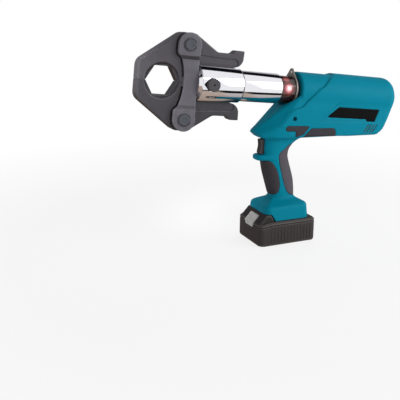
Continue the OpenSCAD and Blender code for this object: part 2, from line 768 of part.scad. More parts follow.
module motor_can() {
    color("#2c2e33") at_barrel() difference() {
        rod(motor_r, motor_s, motor_end);
        rod(motor_r - 4, motor_s + 6, motor_end - 6);
        rod(shaft_r - 2 + run, motor_s - 1, motor_end + 1);
    }
}
module motor_rotor() {
    color("#b0703a") at_barrel() {
        rod(shaft_r - 2, gear_mid + 3, motor_end + 4);
        rod(motor_r - 5, motor_s + 8, motor_end - 8);
    }
}
module oil_bladder() {
    color("#1c1d20") translate([84, -belly_y + wall + 1, belly_z + wall])
        cube([36, 2 * belly_y - 2 * wall - 2, 22]);
}
module circuit_board() {
    color("#1f5a34") translate([base_front + 14, -base_y + 10, deck_z])
        cube([base_rear - base_front - 28, 2 * base_y - 20, 1.6]);
}
module terminal_block() {
    color("#26272b") translate([term_x, -14, batt_top + gap]) cube([11, 28, rail_h]);
}

// battery
module battery_case() {
    shelf = 2.2;
    color("#3a3638") difference() {
        union() {
            translate([0, 0, shelf]) linear_extrude(batt_h - shelf)
                polygon(rect_pts(-batt_l / 2, batt_l / 2, -batt_w / 2, batt_w / 2, batt_round));
            linear_extrude(shelf + 0.01)
                polygon(rect_pts(-batt_l / 2 + 1.2, batt_l / 2 - 1.2, -batt_w / 2 + 1.2, batt_w / 2 - 1.2,
                    batt_round - 1.2));
        }
        translate([0, 0, batt_wall]) linear_extrude(batt_h)
            polygon(rect_pts(-batt_l / 2 + 7, batt_l / 2 - 7, -batt_w / 2 + 4.5, batt_w / 2 - 4.5, 4));
        for (i = [0:15], k = [-1, 1]) translate([-38 + 5.5 * i, k * batt_w / 2, shelf + 3])
            translate([-0.6, -0.5, 0]) cube([1.2, 1, batt_h - shelf - 8]);
        latch_zone();
    }
}
// upper shell with the rail, and the sloped hump that carries the latch
module battery_hump() {
    color("#2b2829") difference() {
        union() {
            translate([0, 0, batt_h]) linear_extrude(rim_t)
                polygon(rect_pts(-batt_l / 2 + 2, batt_l / 2 - 2, -batt_w / 2 + 2.5, batt_w / 2 - 2.5,
                    batt_round - 2));
            side(2 * base_y - 2) polygon([[-batt_l / 2 + 2, batt_h], [base_front, hump_z],
                [base_front + 9, hump_z], [base_front + 18, batt_h]]);
            translate([base_front + 9, -rail_y, batt_h])
                cube([term_x - 17 - base_front, 2 * rail_y, rail_h + rim_t]);
        }
        latch_zone();
    }
}
module battery_cells() {
    color("#4a6fae") for (i = [0:cells - 1], j = [0:1])
        cross(cell_r, (i - (cells - 1) / 2) * cell_pitch, batt_wall + cell_r + j * (2 * cell_r + 0.1),
            -cell_len / 2, cell_len / 2);
}
// latch button on the hump's slope, pressed straight into it
slope = atan2(hump_z - batt_h, base_front + batt_l / 2 - 2);
module on_slope() { translate([-batt_l / 2 + 2, 0, batt_h]) rotate([0, -slope, 0]) children(); }
latch_press = 3;
latch_len = 20;
module latch_zone() {
    on_slope() translate([-4 - gap, -latch_y - gap, -latch_press - 3.3])
        cube([latch_len + 2 * gap, 2 * latch_y + 2 * gap, 20]);
}
module latch_button() {
    color("#c6c4c2") on_slope() translate([0, 0, -3]) linear_extrude(4.2)
        polygon(rect_pts(-4, latch_len - 4, -latch_y, latch_y, 1.5));
}

upper_jaw();
lower_jaw();
link_plate_near();
link_plate_far();
link_tongue();
pivot_pins();
pin_rings();
press_head();
retaining_pin();
rod_bush();
ram();
roller_carriage();
upper_roller();
lower_roller();
roller_pins();
return_spring();
cylinder_cap();
swivel_bush();
neck_collar();
hang_plate();
housing_left();
housing_right();
front_pads();
rear_pads();
label_plates();
housing_screws();
front_grip();
back_grip();
trigger();
switch_block();
pump_block();
pump_plunger();
eccentric_shaft();
gearbox();
motor_can();
motor_rotor();
oil_bladder();
circuit_board();
terminal_block();
battery_case();
battery_hump();
battery_cells();
latch_button();
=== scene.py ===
"""Finished surfaces for a cordless pipe press tool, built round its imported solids.

Shapes are worked out in millimetres and written to meshes in metres. Pieces of the press head and
the barrel use barrel places: s along the barrel towards the tail, y across it, v upwards from its axis.
"""

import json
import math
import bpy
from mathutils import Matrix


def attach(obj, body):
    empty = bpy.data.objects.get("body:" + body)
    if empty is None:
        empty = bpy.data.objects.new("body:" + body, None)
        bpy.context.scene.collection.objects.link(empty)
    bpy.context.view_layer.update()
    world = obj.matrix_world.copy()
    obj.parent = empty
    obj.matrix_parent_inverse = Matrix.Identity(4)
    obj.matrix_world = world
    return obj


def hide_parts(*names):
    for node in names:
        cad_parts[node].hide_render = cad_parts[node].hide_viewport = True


bl_info = {
    "name": "Pipe press tool",
    "version": (1, 0, 0),
    "blender": (4, 5, 0),
    "location": "View3D > Sidebar > Press Tool",
    "description": "Dresses the solids of a cordless pipe press tool with finished surfaces",
    "category": "Object",
}

import bmesh
import bpy
import numpy as np
from mathutils import Matrix, Vector

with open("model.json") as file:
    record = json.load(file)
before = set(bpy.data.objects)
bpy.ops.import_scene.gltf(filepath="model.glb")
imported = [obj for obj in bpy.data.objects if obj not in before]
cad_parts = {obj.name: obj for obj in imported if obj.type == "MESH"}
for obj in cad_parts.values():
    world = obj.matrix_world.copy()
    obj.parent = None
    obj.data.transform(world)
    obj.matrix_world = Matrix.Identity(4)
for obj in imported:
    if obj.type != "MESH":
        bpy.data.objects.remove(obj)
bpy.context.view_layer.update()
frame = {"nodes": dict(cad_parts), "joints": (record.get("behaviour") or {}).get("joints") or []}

MM = 0.001
JOINTS = {joint["name"]: joint for joint in frame["joints"]}
AXIS_Z = JOINTS["head_swivel"]["pos_m"][2] / MM
TILT = math.asin(-JOINTS["head_swivel"]["axis"][2])
COS, SIN = math.cos(TILT), math.sin(TILT)


def along(x, z):
    """Place along the barrel of a point of the tool."""
    return x * COS - (z - AXIS_Z) * SIN


def across(x, z):
    """Height above the barrel axis of a point of the tool."""
    return x * SIN + (z - AXIS_Z) * COS


def to_tool(points):
    """Barrel places (s, y, v) as points of the tool (x, y, z)."""
    p = np.asarray(points, float)
    s, y, v = p[:, 0], p[:, 1], p[:, 2]
    return np.stack([s * COS + v * SIN, y, AXIS_Z - s * SIN + v * COS], 1)


PIVOT_S, PIVOT_V = -183.0, 60.0
FORK_FRONT, FORK_REAR, CYL_REAR = -165.0, -86.5, -9.5
LOCK_S = -143.0
BODY_FRONT, BODY_REAR = 25.0, 238.0
BELLY_Z = AXIS_Z - 85.0
LEDGE_Z = BELLY_Z - 38.5
TRIGGER_Z = LEDGE_Z + 10.0
# the middle of the lamp's lens in the collar, and a spot near the top of the collar where a highlight is
# painted, as barrel places
LAMP = (1.5, -22.8, 3.0)
PAINTED_GLINT = (-1.0, -15.0, 18.0)
# screws in the near side, as (x, z)
SCREWS = [(11.2, BELLY_Z + 36)]


# Colours and outlines

def linear(code):
    """A six-figure sRGB colour as linear red, green and blue."""
    parts = [int(code[i:i + 2], 16) / 255 for i in (1, 3, 5)]
    return tuple(c / 12.92 if c <= 0.04045 else ((c + 0.055) / 1.055) ** 2.4 for c in parts)


def rounded(points, steps=8):
    """An outline of (x, y, corner radius) points with its corners rounded."""
    out = []
    for i, (bx, by, r) in enumerate(points):
        b = np.array((bx, by), float)
        if r <= 0:
            out.append((bx, by))
            continue
        u = np.array(points[i - 1][:2]) - b
        w = np.array(points[(i + 1) % len(points)][:2]) - b
        u = u / np.linalg.norm(u)
        w = w / np.linalg.norm(w)
        half = math.acos(np.clip(u @ w, -1, 1)) / 2
        mid = b + (u + w) / np.linalg.norm(u + w) * r / math.sin(half)
        start, end = b + u * r / math.tan(half) - mid, b + w * r / math.tan(half) - mid
        a0 = math.atan2(start[1], start[0])
        turn = (math.atan2(end[1], end[0]) - a0 + math.pi) % (2 * math.pi) - math.pi
        for k in range(steps + 1):
            a = a0 + turn * k / steps
            out.append((mid[0] + r * math.cos(a), mid[1] + r * math.sin(a)))
    return out


def raised(base, points):
    """A rounded outline whose heights are given from a base."""
    return rounded([(x, base + h, r) for x, h, r in points])


def flowing(points, steps=6):
    """An open path drawn smoothly through its points."""
    p = np.array([points[0], *points, points[-1]], float)
    out = []
    for i in range(1, len(p) - 2):
        for t in np.arange(steps) / steps:
            out.append(0.5 * (2 * p[i] + (p[i + 1] - p[i - 1]) * t
                              + (2 * p[i - 1] - 5 * p[i] + 4 * p[i + 1] - p[i + 2]) * t * t
                              + (3 * p[i] - p[i - 1] - 3 * p[i + 1] + p[i + 2]) * t ** 3))
    return [tuple(q) for q in out] + [tuple(points[-1])]


# Distance fields: negative inside a shape, in millimetres

def outline(px, py, points):
    """Distance to a closed outline."""
    best, inside = np.inf, False
    for (ax, ay), (bx, by) in zip(points, points[1:] + points[:1]):
        ex, ey = bx - ax, by - ay
        size = ex * ex + ey * ey
        if size < 1e-12:
            continue
        wx, wy = px - ax, py - ay
        t = np.clip((wx * ex + wy * ey) / size, 0, 1)
        best = np.minimum(best, (wx - ex * t) ** 2 + (wy - ey * t) ** 2)
        if ay != by:
            inside = inside ^ (((ay > py) != (by > py)) & (px < ex * (py - ay) / ey + ax))
    return np.where(inside, -1.0, 1.0) * np.sqrt(best)


def slab(flat, depth, r):
    """An outline given a thickness, with its edges rounded to r."""
    a, b = flat + r, depth + r
    return np.minimum(np.maximum(a, b), 0) + np.hypot(np.maximum(a, 0), np.maximum(b, 0)) - r


def join(a, b, k):
    """Two shapes as one, with a fillet of about k between them."""
    h = np.maximum(k - np.abs(a - b), 0) / k
    return np.minimum(a, b) - h * h * k * 0.25


def both(a, b, k):
    """What two shapes share, with the edge between them eased by about k."""
    return -join(-a, -b, k)


def cut(a, b, k):
    """The first shape without the second, with the new edge eased by about k."""
    return both(a, -b, k)


def box_field(x, y, z, low, high):
    """A plain box used as a cutter."""
    dx = np.maximum(low[0] - x, x - high[0])
    dy = np.maximum(low[1] - y, y - high[1])
    dz = np.maximum(low[2] - z, z - high[2])
    return np.maximum(np.maximum(dx, dy), dz)


# reach of the differences that settle a mesh on its field, and of those that tell how it bends
SETTLE_REACH, BEND_REACH = 0.15, 0.9


def slope_of(field, p, h):
    """A field's gradient and the sum of its second differences at points."""
    grad = np.zeros_like(p)
    bend = np.zeros(len(p))
    here = field(p[:, 0], p[:, 1], p[:, 2])
    for k in range(3):
        q = p.copy()
        q[:, k] += h
        ahead = field(q[:, 0], q[:, 1], q[:, 2])
        q[:, k] -= 2 * h
        behind = field(q[:, 0], q[:, 1], q[:, 2])
        grad[:, k] = (ahead - behind) / (2 * h)
        bend += (ahead + behind - 2 * here) / (h * h)
    return here, grad, bend


def skin(field, low, high, step):
    """A mesh of quads over a distance field, with how sharply it bends at each point."""
    axes = [np.arange(a, b + step, step) for a, b in zip(low, high)]
    shape = [len(a) for a in axes]
    grid = np.meshgrid(*axes, indexing="ij", sparse=True)
    d = np.ascontiguousarray(np.broadcast_to(field(*grid), shape))
    inside = d < 0
    n = np.array(shape) - 1
    count = np.zeros(n, np.uint8)
    for i in (0, 1):
        for j in (0, 1):
            for k in (0, 1):
                count += inside[i:n[0] + i, j:n[1] + j, k:n[2] + k]
    cells = np.argwhere((count > 0) & (count < 8))
    ids = np.full(n, -1, np.int64)
    ids[tuple(cells.T)] = np.arange(len(cells))
    total = np.zeros((len(cells), 3))
    weight = np.zeros(len(cells))
    quads = []
    for axis in range(3):
        a1, a2 = (axis + 1) % 3, (axis + 2) % 3
        e, e1, e2 = np.eye(3, dtype=np.int64)[[axis, a1, a2]]
        for b in (0, 1):
            for c in (0, 1):
                p0 = cells + b * e1 + c * e2
                d0, d1 = d[tuple(p0.T)], d[tuple((p0 + e).T)]
                hit = (d0 < 0) != (d1 < 0)
                t = d0[hit] / (d0[hit] - d1[hit])
                total[hit] += p0[hit] + t[:, None] * e
                weight[hit] += 1
        first = np.take(inside, range(0, shape[axis] - 1), axis)
        second = np.take(inside, range(1, shape[axis]), axis)
        p = np.argwhere(first != second)
        p = p[(p[:, a1] > 0) & (p[:, a2] > 0) & (p[:, a1] < n[a1]) & (p[:, a2] < n[a2])]
        around = [ids[tuple(q.T)] for q in (p, p - e1, p - e1 - e2, p - e2)]
        quad = np.stack(around, 1)
        out = inside[tuple(p.T)]
        quad[~out] = quad[~out][:, ::-1]
        quads.append(quad)
    points = np.array(low) + step * total / weight[:, None]
    for _ in range(3):
        here, grad, _ = slope_of(field, points, SETTLE_REACH)
        size = np.maximum((grad ** 2).sum(1), 0.2)
        move = np.clip(here / size, -0.5 * step, 0.5 * step)
        points = points - grad * move[:, None]
    bend = slope_of(field, points, BEND_REACH)[2]
    return points, np.concatenate(quads), bend


# Meshes and objects

# angles in degrees at which the edges of steel, mouldings, rubber and film count as sharp
STEEL_SHARP, MOULD_SHARP, RUBBER_SHARP, FILM_SHARP = 42, 48, 50, 40


def placed(name, data):
    """A new object in the scene."""
    item = bpy.data.objects.new(name, data)
    bpy.context.scene.collection.objects.link(item)
    return item


def smoothed(mesh, sharp):
    """Shades a mesh smoothly, apart from edges that bend more than an angle in degrees."""
    mesh.shade_smooth()
    if sharp:
        mesh.set_sharp_from_angle(angle=math.radians(sharp))


def piece(name, points, faces, barrel=False, bend=None, sharp=None):
    """A new object whose mesh holds its place, from points in millimetres."""
    if barrel:
        points = to_tool(points)
    mesh = bpy.data.meshes.new(name)
    mesh.from_pydata((np.asarray(points) * MM).tolist(), [], [list(map(int, f)) for f in faces])
    mesh.validate()
    smoothed(mesh, sharp)
    if bend is not None:
        # edge marks where the surface bulges, which finishes make paler as wear; crease marks hollows,
        # which finishes darken as painted shade
        for attribute, values in (("edge", bend), ("crease", -bend)):
            layer = mesh.attributes.new(attribute, "FLOAT", "POINT")
            layer.data.foreach_set("value", np.clip(values, 0, 1).astype(np.float32))
    return placed(name, mesh)


def moulded(name, field, low, high, step, barrel=False, sharp=None, shade=None):
    """An object skinned over a distance field; shade tells where it counts as a crease, which finishes
    darken as painted shade.
    """
    points, quads, bend = skin(field, low, high, step)
    if shade:
        bend = bend - shade(*points.T)
    return piece(name, points, quads, barrel, bend, sharp)


def turned(name, profile, sides=128, ring=False, sharp=35):
    """An object turned about the barrel axis from (s, radius) points; a ring's profile is closed."""
    angle = 2 * math.pi * np.arange(sides) / sides
    points, rows, faces = [], [], []
    for s, r in profile:
        if r <= 0:
            rows.append([len(points)] * sides)
            points.append((s, 0.0, 0.0))
            continue
        rows.append(list(range(len(points), len(points) + sides)))
        points += [(s, r * math.sin(a), r * math.cos(a)) for a in angle]
    pairs = list(zip(rows, rows[1:] + rows[:1])) if ring else list(zip(rows, rows[1:]))
    for low, high in pairs:
        for i in range(sides):
            j = (i + 1) % sides
            loop = [low[i], high[i], high[j], low[j]]
            face = [q for k, q in enumerate(loop) if q != loop[k - 1]]
            if len(face) > 2:
                faces.append(face)
    return piece(name, points, faces, True, sharp=sharp)


def prism(name, points, y0, y1):
    """A side outline in barrel places, given a thickness from y0 to y1."""
    n = len(points)
    area = sum(a[0] * b[1] - b[0] * a[1] for a, b in zip(points, points[1:] + points[:1]))
    if area < 0:
        points = points[::-1]
    verts = [(s, y0, v) for s, v in points] + [(s, y1, v) for s, v in points]
    faces = [list(range(n)), list(range(2 * n - 1, n - 1, -1))]
    faces += [[(i + 1) % n, i, i + n, (i + 1) % n + n] for i in range(n)]
    return piece(name, verts, faces, True)


def round_outline(s, v, r, n=48):
    """A circle as an outline."""
    turns = [2 * math.pi * i / n for i in range(n)]
    return [(s + r * math.cos(a), v + r * math.sin(a)) for a in turns]


def plain_mesh(item):
    """Keeps what an object's modifiers make as its own mesh, and removes them."""
    depsgraph = bpy.context.evaluated_depsgraph_get()
    made = bpy.data.meshes.new_from_object(item.evaluated_get(depsgraph), depsgraph=depsgraph)
    old = item.data
    item.modifiers.clear()
    item.data = made
    bpy.data.meshes.remove(old)


def carve(item, cutters, sharp):
    """Cuts pieces out of an object and deletes the cutters."""
    for cutter in cutters:
        step = item.modifiers.new("carve", "BOOLEAN")
        step.operation = "DIFFERENCE"
        step.solver = "EXACT"
        step.object = cutter
    plain_mesh(item)
    for cutter in cutters:
        bpy.data.objects.remove(cutter)
    smoothed(item.data, sharp)


def dress(item, body, slot, material, *nodes):
    """Gives an object its material and its body, and hides the solids it stands for."""
    item.data.materials.clear()
    item.data.materials.append(material)
    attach(item, body)
    if nodes:
        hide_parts(*nodes)


# Sizes and colours that a user would change

def length(name, description, default, low, high):
    """A length in metres, with its limits."""
    return bpy.props.FloatProperty(name=name, description=description, default=default, min=low, max=high,
                                   precision=5, unit="LENGTH")


def paint(name, description, code):
    """A colour, from its sRGB code."""
    return bpy.props.FloatVectorProperty(name=name, description=description, subtype="COLOR",
                                         default=linear(code), min=0, max=1)


class PressToolSizes(bpy.types.PropertyGroup):
    """Sizes of the finished surfaces, in metres."""

    shell_step: length("Shell fineness", "Spacing of the housing's mesh", 0.00135, 0.0008, 0.003)
    steel_step: length("Jaw fineness", "Spacing of the jaws' and plates' meshes", 0.0009, 0.0005, 0.002)
    jaw_edge: length("Jaw edge", "Rounding of the forged jaws' edges", 0.0016, 0.0005, 0.003)
    rib_pitch: length("Rib spacing", "Spacing of the ribs on the battery's sides", 0.0065, 0.003, 0.01)
    rib_count: bpy.props.IntProperty(
        name="Ribs", description="Ribs on each long side of the battery", default=13, min=2, max=13)
    rib_proud: length("Rib height", "How far a rib stands off the battery's side", 0.0009, 0.0002, 0.001)
    screw_radius: length("Screw head", "Radius of a housing screw's head", 0.0037, 0.002, 0.0039)


class PressToolColours(bpy.types.PropertyGroup):
    """Colours of the finished surfaces."""

    shell: paint("Housing", "Moulded housing", "#00869f")
    rubber: paint("Back grip", "Rubber under the palm", "#565259")
    pad: paint("Pads", "Soft pads on the lower body", "#3a383d")
    rubber_dark: paint("Front grip", "Rubber under the fingers", "#3f3b3f")
    jaw: paint("Jaws", "Phosphated steel of the jaws", "#434046")
    plate: paint("Link plates", "Ground steel of the link plates", "#5d5b62")
    battery: paint("Battery", "Battery case", "#3d3838")
    latch: paint("Latch", "Battery latch button", "#d6d4d2")
    floor: paint("Floor", "Studio floor", "#f4f4f4")


def sizes():
    """The sizes in use, in millimetres."""
    group = bpy.context.scene.press_tool_sizes
    return {key: getattr(group, key) / (1 if key == "rib_count" else MM)
            for key in group.bl_rna.properties.keys() if key not in ("rna_type", "name")}


def colours():
    """The colours in use."""
    return bpy.context.scene.press_tool_colours


# Materials

def add(tree, kind, inputs=None, **settings):
    """A node with its settings, values and links."""
    node = tree.nodes.new(kind)
    for key, value in settings.items():
        setattr(node, key, value)
    for key, value in (inputs or {}).items():
        if isinstance(value, bpy.types.NodeSocket):
            tree.links.new(value, node.inputs[key])
        else:
            node.inputs[key].default_value = value
    return node


def rgba(colour, k=1.0):
    """A colour made k times as bright, with full alpha."""
    return (*(min(c * k, 1.0) for c in colour[:3]), 1.0)


def ink(code):
    """An sRGB code as a shader's colour."""
    return rgba(linear(code))


class Nodes:
    """A shader tree and the nodes that are often added to it; each method gives a socket."""

    def __init__(self, tree):
        self.tree = tree

    def math(self, operation, a, b=0.5):
        """One sum on one or two values."""
        return add(self.tree, "ShaderNodeMath", {0: a, 1: b}, operation=operation).outputs[0]

    def ranged(self, value, low=0.0, high=1.0, start=0.0, end=1.0):
        """A value between low and high, moved to between start and end."""
        return add(self.tree, "ShaderNodeMapRange", {"Value": value, "From Min": low, "From Max": high,
                                                     "To Min": start, "To Max": end}).outputs[0]

    def mix(self, factor, a, b):
        """A colour between a and b."""
        return add(self.tree, "ShaderNodeMix", {"Factor": factor, "A": a, "B": b},
                   data_type="RGBA").outputs[2]

    def banded(self, value, stops):
        """A colour that changes along a value, from (value, colour) stops."""
        low, high = stops[0][0], stops[-1][0]
        ramp = add(self.tree, "ShaderNodeValToRGB", {"Fac": self.ranged(value, low, high)})
        marks = ramp.color_ramp.elements
        for place, code in stops[1:-1]:
            marks.new((place - low) / (high - low)).color = ink(code)
        marks[0].color = ink(stops[0][1])
        marks[len(stops) - 1].color = ink(stops[-1][1])
        return ramp.outputs[0]


class Finish(Nodes):
    """A new material; its patterns lie on the object, with sizes in millimetres."""

    def __init__(self, name, **values):
        self.material = bpy.data.materials.new(name)
        self.material.use_nodes = True
        super().__init__(self.material.node_tree)
        self.shader = self.tree.nodes["Principled BSDF"]
        for key, value in values.items():
            self.shader.inputs[key.replace("_", " ")].default_value = value
        self.place = add(self.tree, "ShaderNodeTexCoord").outputs["Object"]

    def noise(self, size, detail=2.0, place=None):
        """Noise with patches of about a size."""
        where = self.place if place is None else place
        return add(self.tree, "ShaderNodeTexNoise", {"Vector": where, "Scale": 1000 / size,
                                                     "Detail": detail}).outputs["Fac"]

    def stretched(self, scale, turn=0.0):
        """Places turned about Y and then scaled."""
        return add(self.tree, "ShaderNodeMapping", {"Vector": self.place, "Rotation": (0, turn, 0),
                                                    "Scale": scale}).outputs[0]

    def axis(self, name):
        """One coordinate of the place."""
        return add(self.tree, "ShaderNodeSeparateXYZ", {0: self.place}).outputs[name]

    def away(self, spot):
        """Distance in metres from a barrel place."""
        centre = tuple(c * MM for c in to_tool([spot])[0])
        return add(self.tree, "ShaderNodeVectorMath", {0: self.place, 1: centre},
                   operation="DISTANCE").outputs["Value"]

    def mark(self, name, k=1.0):
        """A mesh's own values, k times as strong."""
        value = add(self.tree, "ShaderNodeAttribute", attribute_name=name).outputs["Fac"]
        return value if k == 1.0 else self.math("MULTIPLY", value, k)

    def link(self, socket, name="Base Color"):
        """Feeds an input of the shader."""
        self.tree.links.new(socket, self.shader.inputs[name])

    def bump(self, height, strength, distance):
        """Relief of a depth in metres."""
        relief = add(self.tree, "ShaderNodeBump", {"Height": height, "Strength": strength,
                                                   "Distance": distance})
        self.link(relief.outputs[0], "Normal")


def shell_abs():
    """ABS moulded in a spark-eroded tool: even colour, soft sheen, a fine matt grain and a parting line."""
    c = colours().shell
    made = Finish("moulded_teal_abs", Roughness=0.5, IOR=1.53, Specular_IOR_Level=0.05)
    # cloudy colour over about 40 mm, from the flow of the plastic
    tone = made.mix(made.noise(40), rgba(c, 0.93), rgba(c, 1.07))
    # rubbed edges are a little paler, and creases are darker as painted shade
    tone = made.mix(made.mark("edge", 0.12), tone, ink("#3aa3b8"))
    tone = made.mix(made.mark("crease", 0.6), tone, rgba(c, 0.45))
    # the line where the two halves meet, about 0.8 mm wide
    off = made.math("ABSOLUTE", made.axis("Y"))
    made.link(made.mix(made.ranged(off, 0.0002, 0.0005, 1.0, 0.0), tone, rgba(c, 0.25)))
    # spark-eroded grain of about 0.7 mm
    made.bump(made.noise(0.7, 3.0), 0.16, 0.00012)
    return made.material


def soft_rubber(name, colour):
    """Moulded thermoplastic rubber: dull, slightly dusty, with a close pebbled grain."""
    made = Finish(name, Roughness=0.72, IOR=1.5, Specular_IOR_Level=0.2)
    # dust in patches of about 18 mm
    tone = made.mix(made.noise(18, 4.0), rgba(colour, 0.85), rgba(colour, 1.15))
    made.link(made.mix(made.mark("edge"), tone, rgba(colour, 1.35)))
    # pebbles of about 1 mm
    pebble = add(made.tree, "ShaderNodeTexVoronoi", {"Vector": made.place, "Scale": 1000 / 1.0})
    made.bump(pebble.outputs["Distance"], 0.22, 0.00015)
    return made.material


def phosphated_steel(name, k):
    """Forged and phosphated steel: dark, dull and a little blotchy, brighter where edges rub."""
    c = [part * k for part in colours().jaw]
    made = Finish(name, Metallic=0.35, Roughness=0.48)
    # blotches of about 9 mm, rubbed in patches of about 4 mm
    blotch = made.noise(9, 6.0)
    tone = made.mix(blotch, rgba(c, 0.78), rgba(c, 1.22))
    rub = made.math("MULTIPLY", made.mark("edge", 0.45), made.noise(4, 4.0))
    tone = made.mix(rub, tone, ink("#747277"))
    # painted shade: creases, and the places that the jaws' shade marks give, are darker
    made.link(made.mix(made.mark("crease"), tone, rgba(c, 0.25)))
    made.link(made.ranged(blotch, start=0.4, end=0.56), "Roughness")
    # blasted grain of about 0.8 mm
    made.bump(made.noise(0.8, 4.0), 0.25, 0.0002)
    return made.material


# a finish without a direction
EVEN = (1, 1, 1)


def ground_steel(name, colour, lay=(1.0, 1.0, 0.04), metallic=0.45, roughness=0.48):
    """Steel with grinding lines that lie along one direction; lay stretches them."""
    made = Finish(name, Metallic=metallic, Roughness=roughness)
    # scratches about 0.6 mm apart, drawn coarser than real ones so that they show
    lines = made.noise(0.6, 3.0, made.stretched(lay, -TILT))
    # blotches of about 12 mm
    blend = made.math("MULTIPLY", lines, made.noise(12, 4.0))
    tone = made.mix(made.ranged(blend, 0.1, 0.45), rgba(colour, 0.84), rgba(colour, 1.16))
    tone = made.mix(made.mark("edge"), tone, rgba(colour, 1.5))
    # creases are darker as painted shade; the link plates' sloped steps are darkened the same way
    made.link(made.mix(made.mark("crease"), tone, rgba(colour, 0.3)))
    made.bump(lines, 0.12, 0.0001)
    return made.material


def hard_chrome():
    """Polished hard chrome over turned steel: a clear mirror with faint rings left by the polishing."""
    made = Finish("polished_hard_chrome", Metallic=1.0, Roughness=0.07, Base_Color=ink("#e9e9ee"))
    # polishing rings about 0.8 mm apart, drawn coarser than real ones so that they show
    rings = made.noise(0.8, 2.0, made.stretched((1.0, 0.02, 0.02), -TILT))
    made.link(made.ranged(rings, start=0.04, end=0.11), "Roughness")
    return made.material


def smoked_collar():
    """Dark polished plastic round the neck: near black with a warm red depth and a clear gloss."""
    made = Finish("smoked_red_acrylic", Roughness=0.16, IOR=1.49, Coat_Weight=0.6, Coat_Roughness=0.06)
    # depth in patches of about 14 mm
    tone = made.mix(made.noise(14), ink("#1d1412"), ink("#3a1c1a"))
    # painted light: a red glow on the plastic round the lamp's lens, and a painted highlight at a spot near
    # the top
    lamp = made.ranged(made.away(LAMP), 0.002, 0.0145, 0.9, 0.0)
    painted_glint = made.ranged(made.away(PAINTED_GLINT), 0.002, 0.008, 0.9, 0.0)
    made.link(made.mix(made.math("MAXIMUM", lamp, painted_glint), tone, ink("#c4615c")))
    return made.material


def indicator_lamp():
    """A small lens of red plastic: a painted highlight, paler towards its middle, that also glows."""
    made = Finish("lit_red_lens", Roughness=0.12, IOR=1.49, Coat_Weight=1.0, Emission_Strength=0.35)
    # painted highlight: a pale core fading to red, given out as a faint glow too
    glow = made.banded(made.away(LAMP), [(0.001, "#fff2f0"), (0.005, "#e0808a"), (0.009, "#8c2a35")])
    made.link(glow)
    made.link(glow, "Emission Color")
    return made.material


def label_film():
    """Black polyester film: smooth, with a faint orange peel."""
    made = Finish("black_polyester_film", Roughness=0.3, IOR=1.57, Specular_IOR_Level=0.04)
    # haze over about 25 mm and peel of about 2.5 mm
    made.link(made.mix(made.noise(25, 3.0), ink("#050505"), ink("#0b0b0c")))
    made.bump(made.noise(2.5), 0.05, 0.0001)
    return made.material


def filled_nylon(name, colour):
    """Glass-filled nylon: dark, dull, with short pale fibres in the surface."""
    made = Finish(name, Roughness=0.6, IOR=1.53, Specular_IOR_Level=0.2)
    # cloudy colour over about 22 mm
    tone = made.mix(made.noise(22, 4.0), rgba(colour, 0.86), rgba(colour, 1.14))
    # fibres about 0.9 mm wide and four times as long
    fibre = made.noise(0.9, 2.0, made.stretched((0.25, 1.0, 1.0)))
    pale = made.math("MAXIMUM", made.mark("edge", 0.5), made.ranged(fibre, 0.62, 0.74, 0.0, 0.25))
    tone = made.mix(pale, tone, ink("#7d7876"))
    # creases are darker as painted shade
    made.link(made.mix(made.mark("crease"), tone, rgba(colour, 0.35)))
    made.bump(fibre, 0.15, 0.00015)
    return made.material


def speckled_latch():
    """Pale grey plastic with dark flecks, as recycled mouldings have."""
    c = colours().latch
    made = Finish("speckled_grey_plastic", Roughness=0.5, IOR=1.5)
    # flecks of about 1.6 mm
    fleck = made.noise(1.6, 1.0)
    made.link(made.mix(made.ranged(fleck, 0.5, 0.64, 0.0, 0.6), rgba(c), rgba(c, 0.5)))
    made.bump(fleck, 0.08, 0.0001)
    return made.material


def mottled(name, size, detail, dark, pale, strength, distance, **values):
    """Two colours in patches of a size, which also roughen the surface."""
    made = Finish(name, **values)
    patch = made.noise(size, detail)
    made.link(made.mix(patch, ink(dark), ink(pale)))
    made.bump(patch, strength, distance)
    return made.material


def blackened_steel():
    """Steel blackened in hot oxide: near black, oily, with grey rubbed patches of about 2 mm."""
    return mottled("black_oxide_steel", 2.2, 5.0, "#242327", "#56545a", 0.1, 0.0001,
                   Metallic=0.7, Roughness=0.42)


def bearing_bronze():
    """Sintered bronze: warm and dull, with pits of about 0.9 mm."""
    return mottled("sintered_bronze", 0.9, 4.0, "#8a6a34", "#c29a58", 0.2, 0.0001,
                   Metallic=0.9, Roughness=0.45)


def cell_wrap():
    """Shrink-wrapped battery cells: smooth blue film with faint wrinkles of about 6 mm."""
    return mottled("blue_shrink_film", 6, 2.0, "#3f62a0", "#567cbb", 0.1, 0.0002, Roughness=0.35, IOR=1.5)


def board_lacquer():
    """Green solder lacquer over copper tracks about 2 mm apart."""
    made = Finish("green_board_lacquer", Roughness=0.3, IOR=1.5)
    track = add(made.tree, "ShaderNodeTexBrick", {
        "Vector": made.place, "Scale": 1000 / 4, "Mortar Size": 0.08, "Color1": ink("#1f5a34"),
        "Color2": ink("#235f39"), "Mortar": ink("#2f7a49")})
    made.link(track.outputs["Color"])
    return made.material


# Jaws and link set

